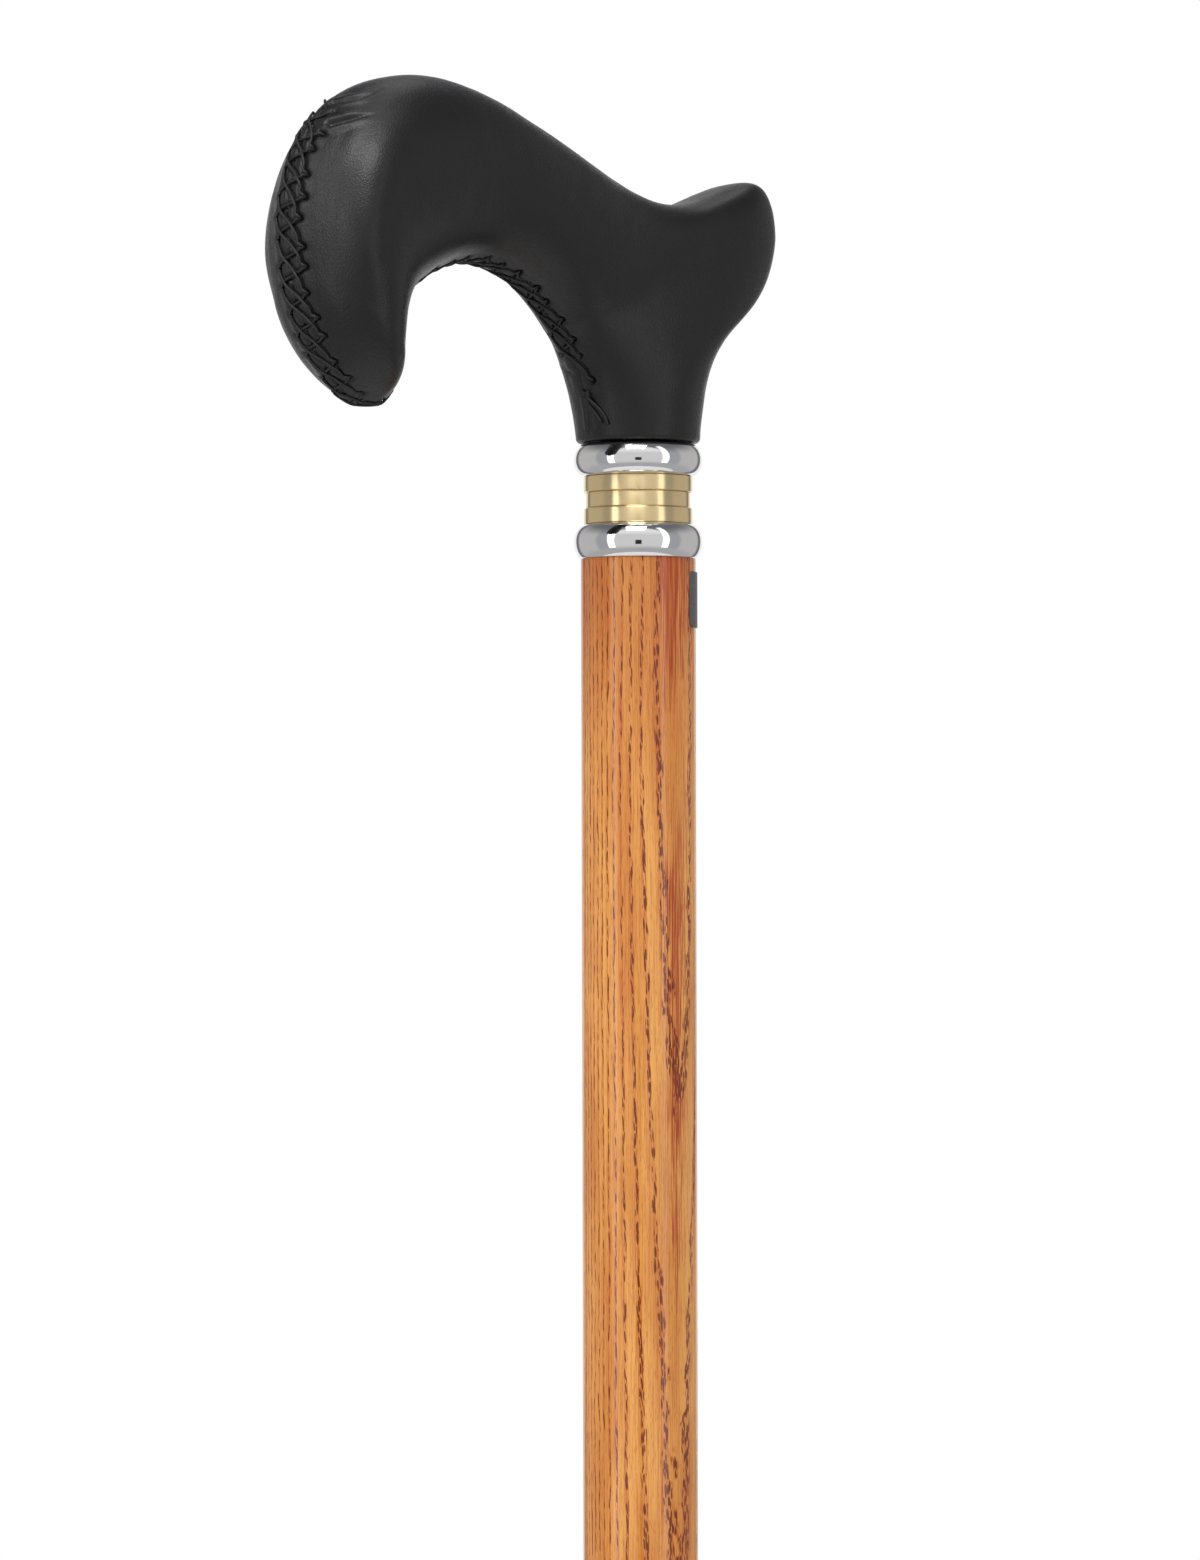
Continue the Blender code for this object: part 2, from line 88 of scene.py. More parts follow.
# The ash: the height over which its growth rings lean out of the shaft and back, how deep in it they still
# do, the part of a ring outside the shaft, the sizes of a pore (outward, sideways, along) and of a tick,
# and the stain under the collar. Each flame has the height of its point, its length, half-width and
# sideways place.
LEAN_TOP = 0.801
LEAN_LENGTH = 0.344
LEAN_DEPTH = 0.0042
FIRST_RING = 0.32
PORE_SIZE = (0.00031, 0.00038, 0.0027)
TICK_SIZE = (0.00024, 0.00024, 0.0026)
STAIN_LENGTH = 0.045
FLAME_TEAR = 0.0070
FLAMES = (
    (0.7975, 0.064, 0.0050, -0.0017),
    (0.8040, 0.060, 0.0044, 0.0016),
    (0.6800, 0.100, 0.0032, -0.0004),
    (0.5620, 0.048, 0.0026, -0.0009),
    (0.4310, 0.062, 0.0031, 0.0004),
    (0.2840, 0.052, 0.0028, -0.0005),
    (0.1400, 0.058, 0.0030, 0.0008),
)

# The lamps: the strips' direction, in degrees from the camera's, their distance and width, with each one's
# name, side, lowest and highest point and setting. The two boxes overhead have their places (forward, to the
# right, over the leather's foot), widths and heights.
STRIP_DIRECTION = 51.0
STRIP_DISTANCE = 1.6
STRIP_WIDTH = 0.36
STRIPS = (
    ("left_strip_high", -1, 1.06, 3.35, "key_light"),
    ("left_strip_low", -1, 0.0, 1.06, "low_light"),
    ("right_strip", 1, 0.0, 3.2, "side_light"),
)
OVERHEAD_BOX = ((0.385, 0.03, 1.1), 0.50, 1.07)
FRONT_BOX = ((-0.90, -0.10, 1.32), 0.80, 0.70)

# The room that shiny surfaces reflect
ROOM_FRONT = (0.74, 0.73, 0.72)
ROOM_CORNERS = (0.40, 0.41, 0.435)
ROOM_CARDS = (0.56, 0.545, 0.53)
ROOM_CEILING = (0.17, 0.17, 0.185)
ROOM_BRIGHT = (0.95, 0.94, 0.93)
ROOM_LOW = (0.46, 0.46, 0.47)
ROOM_GAP = (0.17, 0.18, 0.20)
ROOM_WHITE = (1.0, 1.0, 1.0)
ROOM_CAMERA = (0.03, 0.03, 0.03)

# The handle's form: control rows of a smooth cubic, fanned round the arch from the stem to the nose. Each
# row gives the inner point (x, z), the outer point (x, z) and the half-width, as shares of the sizes below:
# a negative x of NOSE_REACH, a positive x of KNOB_REACH, z of HANDLE_HEIGHT, the width of GRIP_HALF_WIDTH.
HANDLE_HEIGHT = 0.0640
NOSE_REACH = 0.0844
KNOB_REACH = 0.0312
GRIP_HALF_WIDTH = 0.0152
STEM_RADIUS = SHAFT_RADIUS + 0.0008
STEM_FLARE = 0.0005
STEM_FLARE_SHARE = 0.065
HANDLE_STATIONS = (
    (-0.150, 0.095, 0.435, 0.255, 0.855),
    (-0.155, 0.130, 0.630, 0.380, 0.855),
    (-0.165, 0.170, 0.900, 0.470, 0.855),
    (-0.175, 0.205, 1.035, 0.650, 0.830),
    (-0.195, 0.240, 0.960, 0.830, 0.760),
    (-0.220, 0.290, 0.720, 0.810, 0.690),
    (-0.260, 0.350, 0.375, 0.720, 0.690),
    (-0.310, 0.410, -0.005, 0.710, 0.755),
    (-0.370, 0.460, -0.170, 0.805, 0.815),
    (-0.435, 0.490, -0.340, 0.905, 0.855),
    (-0.500, 0.500, -0.505, 0.985, 0.880),
    (-0.570, 0.485, -0.670, 1.015, 0.910),
    (-0.650, 0.440, -0.840, 0.960, 0.950),
    (-0.720, 0.365, -0.965, 0.800, 0.990),
    (-0.743, 0.265, -1.010, 0.570, 1.012),
    (-0.740, 0.175, -0.985, 0.385, 0.900),
)
NOSE_TIP = (0.025, -0.198)
TIP_DRAW = 0.08
SIDE_FLATNESS = 0.9
FLATTEST_RING = 1.2

# The flat front of the nose and the ridges at its edges: places on half a ring, in degrees from its inner
# point, with the reach there as a share of the plain ring's, and the stations over which they come and go
NOSE_FACET = (
    (0, 1.0), (82, 1.0), (96, 1.006), (107, 1.045), (114, 1.062), (121, 1.045), (135, 0.988), (150, 0.966),
    (165, 0.985), (180, 1.0),
)
FACET_STATIONS = (13.2, 14.8, 16.0, 17.2)
FACET_BLUR = 9

# How many points half a ring, the handle's line and its stem are measured at, and where the coarser form
# that the thread is laid on starts, with its steps in those of the leather
RING_SAMPLES = 361
LINE_SAMPLES = 3001
STEM_SAMPLES = 101
FORM_FIRST_STATION = 0.05
FORM_COARSENESS = 2.5

# The leather's mesh: half a ring's steps, the fine ones beside its inner and its outer point, where the
# seam and the folds at its top lie, the steps along the handle, the rings over which its relief sets in,
# the lining's start in thicknesses, and the soft rises and falls of the whole skin, each with its height
# and its waves a metre
HALF_RING_STEPS = 92
INNER_FINE_STEPS = 18
OUTER_FINE_STEPS = 40
SEAM_FINE_STEP = 0.0003
SEAM_LINE_STEP = 0.00036
PLAIN_LINE_STEP = 0.00080
LINING_RINGS = 56
FOOT_ROLL_STEPS = 5
LEATHER_THICKNESS = 0.0014
LEATHER_EDGE_ROLL = 0.0009
LEATHER_MOUTH_RADIUS = 0.0077
RELIEF_START_RINGS = 4
LINING_START = 1.3
LEATHER_WAVES = ((0.00016, 80), (0.00005, 260))

# The seam: where its line starts, the knot, the last stitch and the end of the top fold, as stations of the
# form, the points that the line is made from, its width on the stem and the runs over which it widens, how
# far off the middle plane its relief may reach, and how near its line the leather has to lie to get it
SEAM_FIRST_STATION = 0.12
SEAM_KNOT_STATION = 3.0
SEAM_TOP_STATION = 14.4
SEAM_FOLD_STATION = 11.8
INNER_SAMPLES = 1600
NOSE_SAMPLES = 700
SEAM_SAMPLE = 0.0001
STEM_SEAM_SHARE = 0.72
STEM_SEAM_END = 0.025
ARCH_SEAM_START = 0.060
SEAM_BAND = 0.0130
SEAM_LINE_REACH = 0.4 * SEAM_BAND

# The leather's relief beside the seam: how deep it may go, how far its sewn lips reach in half-widths of
# the seam, the needle holes' depth as a share of the grooves' and their stretch, how far out strands are
# looked for, how the sewn part and the slit set in and end (metres past the knot and the last stitch), the
# share of the slit's depth outside the sewn part, the slit's wander (swing, waves, start), the flat edges
# below the knot (rise, place, width), and how the grooves get shallower round the nose's tip
DEEPEST_RELIEF = 0.0009
LIP_FALL = (0.60, 1.55)
HOLE_DEPTH = 0.55
HOLE_STRETCH = 0.55
STRAND_SEARCH = 1.6
SEWN_START = (-0.001, 0.003)
SEWN_END = (-0.003, 0.001)
SLIT_END = (-0.001, 0.002)
UNSEWN_SLIT = 0.45
BUTT_EDGE = (0.00026, 0.0009, 0.0006)
SLIT_WANDER = ((0.00016, 900, 0), (0.0001, 2300, 1))
TIP_GROOVE_LOSS = 0.85
TIP_GROOVE_SPREAD = 0.007

# The folds at the seam's top: places past its end and aside, depth and width. The share of a fold at which
# it starts to fade, its width at its end, and the swell beside it (height, place, width), in widths of the
# fold
FOLDS = (
    (((-0.0055, -0.0041), (-0.0038, -0.0061), (-0.0012, -0.0084), (0.0014, -0.0102)), 0.00064, 0.00046),
    (((-0.0055, 0.0041), (-0.0038, 0.0061), (-0.0012, 0.0084), (0.0014, 0.0102)), 0.00064, 0.00046),
    (((0.0001, -0.0008), (0.0010, -0.0030), (0.0024, -0.0049), (0.0046, -0.0060), (0.0082, -0.0070)),
     0.00062, 0.00044),
    (((-0.0004, 0.0010), (0.0060, 0.0034)), 0.00040, 0.00040),
)
FOLD_FADE_START = 0.30
FOLD_END_WIDTH = 0.55
FOLD_SWELL = (0.50, 2.7, 1.5)

# The lacing: how many holes down a strand runs, and its bends. Each bend takes a part of the way across,
# between two shares of the way down: out of the first hole, over the slit, into the last hole. The needle
# holes wander by a turn of GOLDEN_ANGLE from one to the next.
GOLDEN_ANGLE = 2.39996
LONG_REACH = 2
SHORT_REACH = 1
STRAND_BENDS = ((0.10, 0.0, 0.05), (0.78, 0.04, 0.84), (0.12, 0.90, 1.0))
POINTS_A_STRAND = 37
POINT_CROWDING = 0.11

# How high a strand lies over the leather, in thread radii: its depth in a hole and its rise out of it, then
# what a long strand gains and a short one loses, on its way and at its crossings. Crossings are shares of
# the way down.
STRAND_DEPTH = 3.0
STRAND_RISE = 2.6
RISEN_SHARE = 0.034
LONG_RIDE = (0.30, 0.75)
SHORT_DIP = (0.10, 0.60)
STRAND_CROSSINGS = (0.33, 0.67)
CROSSING_WIDTH = 0.085

# Each point of a strand is dropped on the form from this far outside it, along a ray of this length
DROP_START = 0.006
DROP_LENGTH = 0.02

# The thread's ends: places past a run on the seam and aside, and the height over the form in thread radii.
# Two tails hang from the knot and one stands out at the top. The knot winds round its place: its points,
# how many of them make a turn, its reach in thread radii and how much that wobbles (share, waves a turn),
# its height (middle, swing, waves a turn), and how far off the seam's middle it sits.
KNOT_TAILS = (
    ((0.0012, 0.0006, 1.0), (-0.0003, -0.0008, 3.0), (-0.0018, -0.0021, 1.2), (-0.0034, -0.0033, 1.0),
     (-0.0047, -0.0040, 1.0), (-0.0058, -0.0042, 1.5)),
    ((0.0010, -0.0010, 1.0), (-0.0006, -0.0003, 2.0), (-0.0022, -0.0009, 1.0), (-0.0040, -0.0022, 1.0),
     (-0.0054, -0.0030, 1.2)),
)
TOP_TAIL = ((-0.0012, -0.0004, 0.0), (-0.0004, 0.0006, 2.0), (0.0006, 0.0014, 2.5))
KNOT_POINTS = 22
KNOT_TURN_POINTS = 7.3
KNOT_REACH = 2.3
KNOT_WOBBLE = (0.3, 2.1)
KNOT_HEIGHT = (1.4, 1.3, 1.63)
KNOT_ASIDE = -0.0004

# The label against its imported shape: how much lower its face lies, how deep its back sinks into the shaft,
# how much further it reaches round, and the rounding of its edge
LABEL_LOWER = 0.00025
LABEL_SUNK = 0.0001
LABEL_LONGER = 0.0006
LABEL_EDGE = 0.00014

# The ferrule's mouth: how far below its top the two beads lie, how deep they start in the neck, and the
# rounding of its outer and inner edge. The foot's flare: its height in widths, and the power of its curve.
BEAD_DROPS = (0.0034, 0.0012)
BEAD_SUNK = 0.0002
MOUTH_OUTER_EDGE = 0.0006
MOUTH_INNER_EDGE = 0.0005
FLARE_HEIGHT = 2.0
FLARE_POWER = 1.25


class Value:
    """A node's output. Arithmetic on it adds Math nodes to its tree."""

    def __init__(self, graph, socket):
        self.graph = graph
        self.socket = socket

    def also(self, output):
        """Another output of the same node."""
        return Value(self.graph, self.socket.node.outputs[output])

    def math(self, operation, *others):
        return self.graph.node("ShaderNodeMath", dict(enumerate((self, *others))), operation=operation)

    def math_after(self, operation, first):
        return self.graph.node("ShaderNodeMath", {0: first, 1: self}, operation=operation)

    __add__ = partialmethod(math, "ADD")
    __radd__ = partialmethod(math_after, "ADD")
    __sub__ = partialmethod(math, "SUBTRACT")
    __rsub__ = partialmethod(math_after, "SUBTRACT")
    __mul__ = partialmethod(math, "MULTIPLY")
    __rmul__ = partialmethod(math_after, "MULTIPLY")
    __truediv__ = partialmethod(math, "DIVIDE")
    __pow__ = partialmethod(math, "POWER")
    floor = partialmethod(math, "FLOOR")
    fraction = partialmethod(math, "FRACT")
    sine = partialmethod(math, "SINE")
    cosine = partialmethod(math, "COSINE")
    absolute = partialmethod(math, "ABSOLUTE")
    exponent = partialmethod(math, "EXPONENT")
    largest = partialmethod(math, "MAXIMUM")

    def ramp(self, low, high):
        """0 at low and 1 at high, smoothly. The two may run either way."""
        return self.graph.node("ShaderNodeMapRange", {"Value": self, "From Min": low, "From Max": high},
                               interpolation_type="SMOOTHSTEP")


class Graph:
    """A node tree under construction, and the material that it belongs to, if any."""

    def __init__(self, tree, material=None):
        self.tree = tree
        self.material = material
        tree.nodes.clear()

    def node(self, kind, inputs=None, output=0, **settings):
        """Adds a node: its settings first, then the values or links of its sockets."""
        made = self.tree.nodes.new(kind)
        for name, value in settings.items():
            setattr(made, name, value)
        for key, value in (inputs or {}).items():
            socket = made.inputs[key]
            if isinstance(value, Value):
                self.tree.links.new(value.socket, socket)
            else:
                socket.default_value = (*value, 1.0) if socket.type == "RGBA" else value
        return Value(self, made.outputs[output]) if made.outputs else None

    def parts(self, vector):
        """A vector's three numbers."""
        split = self.node("ShaderNodeSeparateXYZ", {0: vector})
        return split, split.also(1), split.also(2)

    def vector(self, x, y, z):
        return self.node("ShaderNodeCombineXYZ", {0: x, 1: y, 2: z})

    def vector_math(self, operation, *terms, **sockets):
        return self.node("ShaderNodeVectorMath", {**dict(enumerate(terms)), **sockets}, operation=operation)

    def scaled(self, vector, amount):
        return self.vector_math("SCALE", vector, Scale=amount)

    def mixed(self, factor, first, second):
        """A colour from first, where factor is 0, to second, where it is 1."""
        return self.node("ShaderNodeMix", {0: factor, 6: first, 7: second}, output=2, data_type="RGBA")

    def texture(self, kind, where, size, sockets, **settings):
        """A texture in grains: size is the number of them in a metre, or a grain's lengths along x, y and
        z."""
        if isinstance(size, tuple):
            where = self.vector_math("MULTIPLY", where, tuple(1 / length for length in size))
            size = 1.0
        return self.node(kind, {"Vector": where, "Scale": size, **sockets}, **settings)

    def noise(self, where, size, detail=2.0, roughness=0.5, distortion=0.0, output=0):
        sockets = {"Detail": detail, "Roughness": roughness, "Distortion": distortion}
        return self.texture("ShaderNodeTexNoise", where, size, sockets, output=output)

    def cells(self, where, size, feature="F1", **sockets):
        return self.texture("ShaderNodeTexVoronoi", where, size, sockets, feature=feature)

    def bump(self, height, depth, strength=1.0, **below):
        """A surface normal from heights of 0 to 1, depth metres apart. It may lie over another one,
        Normal."""
        sockets = {"Height": height, "Distance": depth, "Strength": strength, **below}
        return self.node("ShaderNodeBump", sockets)


def finish_graph(name):
    """A new material's empty tree, and the place of a point on the object."""
    made = bpy.data.materials.new(name)
    made.use_nodes = True
    graph = Graph(made.node_tree, made)
    return graph, graph.node("ShaderNodeTexCoord", output="Object")


def principled(graph, **sockets):
    """Ends a material in a Principled shader. A socket's name has _ for its spaces."""
    named = {name.replace("_", " "): value for name, value in sockets.items()}
    graph.node("ShaderNodeOutputMaterial", {"Surface": graph.node("ShaderNodeBsdfPrincipled", named)})
    return graph.material


def darker(colour, *shares):
    """A colour times one share, or a share for each of its parts."""
    return [share * part for share, part in zip(shares * (3 // len(shares)), colour)]


def leather_finish(settings):
    """Black leather: a fine pebble grain with painted shade in the creases between its pebbles, faint
    wrinkles, and a shine that wears in along the ridges.
    """
    graph, where = finish_graph("black_leather")
    size = settings.grain_size
    warp = graph.noise(where, 0.18 / size, output=1)
    shifted = graph.vector_math("ADD", where, graph.scaled(warp, 0.9 * size))
    pebble = graph.cells(shifted, (size, size, 1.1 * size), feature="SMOOTH_F1", Smoothness=0.35)
    pebble_height = 1 - pebble.ramp(0.15, 0.75)
    fine = graph.noise(where, 1.6 / size)
    patch = graph.noise(where, 65.0, detail=3.0)
    wrinkle = graph.noise(where, (0.0035, 0.0035, 0.0090), detail=3.0, distortion=0.6)
    creases = graph.bump(wrinkle, 0.00018, 0.30)
    grain = graph.bump(pebble_height, settings.grain_depth, Normal=creases)
    skin = graph.bump(fine, 0.25 * settings.grain_depth, 0.6, Normal=grain)
    # Painted shade: the crease colour darkens the leather between the pebbles, where shade falls; the
    # patches vary its tone at random
    tone_and_crease_shade = graph.mixed(pebble_height * 0.55 + patch * 0.45, settings.crease_shade_colour, settings.colour)
    rough = settings.roughness + (patch - 0.5) * 0.16 + (1 - pebble_height) * 0.10
    return principled(graph, Base_Color=tone_and_crease_shade, Roughness=rough, Normal=skin,
                      Specular_IOR_Level=settings.shine)


def thread_finish(settings):
    """Black waxed thread, with the twist of its strands in its shine."""
    graph, where = finish_graph("waxed_thread")
    twist = graph.noise(where, 5200.0, detail=1.0)
    tone = graph.mixed(twist, (0.003, 0.003, 0.003), settings.thread_colour)
    return principled(graph, Base_Color=tone, Roughness=0.46 + twist * 0.2,
                      Normal=graph.bump(twist, 0.00004, 0.8))


def chrome_finish(settings):
    """Polished chrome with hairline marks."""
    graph, where = finish_graph("polished_chrome")
    haze = graph.noise(where, (0.006, 0.006, 0.0015), detail=4.0)
    hairline = graph.noise(where, (0.004, 0.004, 0.00012))
    tone = graph.mixed(haze, settings.chrome_colour, darker(settings.chrome_colour, 0.94))
    return principled(graph, Base_Color=tone, Metallic=1.0, Roughness=0.035 + haze * 0.05,
                      Normal=graph.bump(hairline, 0.000002, 0.25))


def brass_finish(settings):
    """Lacquered brass with the fine lines of the lathe round it."""
    graph, where = finish_graph("satin_brass")
    lines = graph.noise(where, (0.05, 0.05, 0.00016), detail=3.0, roughness=0.7)
    blotch = graph.noise(where, 420.0, detail=3.0)
    deep = darker(settings.brass_colour, 0.86, 0.83, 0.76)
    tone = graph.mixed(lines * 0.5 + blotch * 0.5, settings.brass_colour, deep)
    return principled(graph, Base_Color=tone, Metallic=1.0, Roughness=0.27 + lines * 0.06, Anisotropic=0.95,
                      Anisotropic_Rotation=settings.brass_turning, Normal=graph.bump(lines, 0.000005, 0.5))


def ash_finish(settings):
    """Stained ash under clear lacquer: growth rings that lean out of the round shaft, with rows of long
    dark pores at the start of each ring, and red-brown flames where the shaft only grazes a ring."""
    graph, where = finish_graph("stained_ash")
    turn = math.radians(settings.grain_azimuth)
    x, y, z = graph.parts(where)
    outward = x * math.cos(turn) + y * math.sin(turn)
    aside = y * math.cos(turn) - x * math.sin(turn)
    sway = graph.noise(where, (0.010, 0.010, 0.055))
    ripple = graph.noise(where, (0.0018, 0.0018, 0.0050))
    fibre = graph.noise(where, (0.00026, 0.00026, 0.0110), detail=3.0)
    broad = graph.noise(where, (0.006, 0.006, 0.045))
    depth = SHAFT_RADIUS - outward + (sway - 0.5) * 0.0011 + (ripple - 0.5) * 0.00075
    lean = (1 - ((z - LEAN_TOP) / LEAN_LENGTH * math.tau).cosine()) * 0.5 * settings.grain_lean
    leaning = depth + lean * ((depth / LEAN_DEPTH) ** 2.0 * -1).exponent()
    ring = leaning / settings.ring_spacing
    phase = (ring + ring * ring * settings.ring_narrowing - FIRST_RING).fraction()
    early = phase.ramp(0.0, 0.03) * (1 - phase.ramp(0.20, 0.28))
    pore_place = graph.vector((outward + z * settings.pore_slant) / PORE_SIZE[0], aside / PORE_SIZE[1],
                              z / PORE_SIZE[2])
    pores = (1 - graph.cells(pore_place, 1.0).ramp(0.44, 0.56)) * early
    ticks = (1 - graph.cells(where, TICK_SIZE).ramp(0.20, 0.32))
    flame = 0.0
    for tip, length, half_width, shift in FLAMES:
        climb = ((z - tip) / length).largest(0.0)
        past = (aside - shift).absolute() - climb ** 0.6 * half_width + (0.5 - fibre) * FLAME_TEAR
        tongue = (1 - past.ramp(-0.0019, 0.0003)) * climb.ramp(0.0, 0.02) * (1 - climb.ramp(0.80, 1.15))
        flame = tongue.largest(flame)
    flame = flame * outward.ramp(0.0, 0.002) * (0.45 + fibre.ramp(0.40, 0.58) * 0.55)
    stained = z.ramp(LOWER_BEAD_LOW.z - STAIN_LENGTH, LOWER_BEAD_LOW.z) * (0.30 + broad * 0.5)
    plain = graph.mixed(broad.ramp(0.32, 0.68), settings.pale_colour, settings.tan_colour)
    plain = graph.mixed(stained, plain, settings.stain_colour)
    streaked = graph.mixed(fibre.ramp(0.42, 0.68) * 0.36, plain, settings.ring_colour)
    halo = (1 - phase.ramp(0.12, 0.66)) * (0.20 + fibre.ramp(0.30, 0.70) * 0.44)
    ringed = graph.mixed(halo, streaked, settings.halo_colour)
    specked = graph.mixed(ticks * 0.42, ringed, settings.ring_colour)
    flamed = graph.mixed(flame, specked, settings.ring_colour)
    wood = graph.mixed(pores * 0.95, flamed, settings.pore_colour)
    relief = graph.bump(1 - pores, 0.00003, 0.4)
    return principled(graph, Base_Color=wood, Roughness=0.46 - fibre * 0.08, Normal=relief,
                      Specular_IOR_Level=0.0, Coat_Weight=0.9, Coat_Roughness=settings.lacquer_roughness)


def label_finish(settings):
    """Dark grey label, finely brushed round the shaft."""
    graph, where = finish_graph("grey_label")
    brushed = graph.noise(where, (0.02, 0.02, 0.00012), detail=3.0)
    tone = graph.mixed(brushed, settings.label_colour, darker(settings.label_colour, 0.82))
    return principled(graph, Base_Color=tone, Roughness=0.42 + brushed * 0.12,
                      Normal=graph.bump(brushed, 0.000005, 0.5))


def rubber_finish(settings):
    """Matt moulded rubber, dusty in patches and scuffed at its sole."""
    graph, where = finish_graph("black_rubber")
    stipple = graph.noise(where, 2600.0)
    dust = graph.noise(where, 130.0, detail=4.0)
    scuffed = (1 - graph.parts(where)[2].ramp(0.0, 0.0045)) * dust.ramp(0.4, 0.7)
    tone = graph.mixed(dust.ramp(0.35, 0.8) * 0.5, settings.rubber_colour, (0.045, 0.044, 0.042))
    worn = graph.mixed(scuffed * 0.6, tone, (0.085, 0.083, 0.080))
    return principled(graph, Base_Color=worn, Roughness=0.62 + dust * 0.2,
                      Normal=graph.bump(stipple, 0.00003, 0.5))


def steel_finish():
    """Zinc-plated steel, faintly clouded."""
    graph, where = finish_graph("zinc_steel")
    cloud = graph.noise(where, 600.0, detail=3.0)
    tone = graph.mixed(cloud, (0.58, 0.59, 0.61), (0.42, 0.43, 0.45))
    return principled(graph, Base_Color=tone, Metallic=1.0, Roughness=0.30 + cloud * 0.15)


def beech_finish():
    """Raw beech: pale, with short dark flecks along the grain."""
    graph, where = finish_graph("beech")
    fleck = graph.cells(where, (0.003, 0.0008, 0.0008))
    grain = graph.noise(where, (0.03, 0.002, 0.002), detail=3.0)
    tone = graph.mixed(grain, (0.62, 0.43, 0.27), (0.48, 0.31, 0.18))
    flecked = graph.mixed((1 - fleck.ramp(0.15, 0.35)) * 0.6, tone, (0.27, 0.15, 0.08))
    return principled(graph, Base_Color=flecked, Roughness=0.62, Normal=graph.bump(grain, 0.00008, 0.4))


def smooth_step(value, low, high):
    share = np.clip((value - low) / (high - low), 0.0, 1.0)
    return share * share * (3 - 2 * share)


def run_along(line):
    """How far along a line of points each of them lies."""
    return np.concatenate([[0.0], np.cumsum(np.linalg.norm(np.diff(line, axis=0), axis=1))])


def control_rows():
    """The handle's control rows in metres, z above the leather's foot."""
    def reach(share):
        return share * (NOSE_REACH if share < 0 else KNOB_REACH)

    flared = STEM_RADIUS + STEM_FLARE
    flare_height = STEM_FLARE_SHARE * HANDLE_HEIGHT
    rows = [
        (-STEM_RADIUS, 0.0, STEM_RADIUS, 0.0, STEM_RADIUS),
        (-flared, flare_height, flared, flare_height, flared),
    ]
    for inner_x, inner_z, outer_x, outer_z, half_width in HANDLE_STATIONS:
        rows.append((reach(inner_x), inner_z * HANDLE_HEIGHT, reach(outer_x), outer_z * HANDLE_HEIGHT,
                     half_width * GRIP_HALF_WIDTH))
    return np.array(rows)


CONTROL_ROWS = control_rows()
LAST_STATION = len(CONTROL_ROWS) - 1
TIP_STATION = LAST_STATION + 1


def ring_frames(stations, inset=0.0):
    """Rings of the handle at an array of stations: the middles and the vectors to the outer points, both
    (x, z), and the half-widths. Past LAST_STATION the rings close the nose's tip as a quarter ellipse."""
    before = 2 * CONTROL_ROWS[0] - CONTROL_ROWS[1]
    after = 2 * CONTROL_ROWS[-1] - CONTROL_ROWS[-2]
    rows = np.vstack([before, CONTROL_ROWS, after])
    held = np.minimum(stations, LAST_STATION)
    first = np.minimum(held.astype(int), LAST_STATION - 1)
    t = held - first
    weights = ((1 - t) ** 3, 3 * t ** 3 - 6 * t ** 2 + 4, -3 * t ** 3 + 3 * t ** 2 + 3 * t + 1, t ** 3)
    smooth = sum(weight[:, None] * rows[first + k] for k, weight in enumerate(weights)) / 6
    middle = (smooth[:, 0:2] + smooth[:, 2:4]) / 2
    arm = (smooth[:, 2:4] - smooth[:, 0:2]) / 2
    arm = arm * (1 - inset / np.linalg.norm(arm, axis=1))[:, None]
    half_width = smooth[:, 4] - inset
    turn = np.maximum(0.0, stations - LAST_STATION) * math.pi / 2
    tip = np.array((NOSE_TIP[0] * NOSE_REACH, NOSE_TIP[1] * HANDLE_HEIGHT))
    tip = tip * (1 - inset / np.linalg.norm(tip))
    middle = middle + tip * np.sin(turn)[:, None]
    middle[:, 1] += HANDLE_BASE
    closing = np.cos(turn) * (1 - TIP_DRAW * np.sin(turn))
    return middle, arm * closing[:, None], half_width * closing


def facet_reach():
    """The reach of the nose's faceted ring at each half degree, as a share of the plain ring's."""
    degrees, shares = zip(*NOSE_FACET)
    kernel = np.hanning(2 * FACET_BLUR + 1)
    plain = np.interp(np.arange(-FACET_BLUR, RING_SAMPLES + FACET_BLUR) / 2, degrees, shares)
    return np.convolve(plain, kernel / kernel.sum(), mode="valid")


FACET_REACH = facet_reach()


def facet_share(stations):
    """How much of the nose's facets the rings at an array of stations have."""
    come, full, fade, gone = FACET_STATIONS
    return smooth_step(stations, come, full) * (1 - smooth_step(stations, fade, gone))


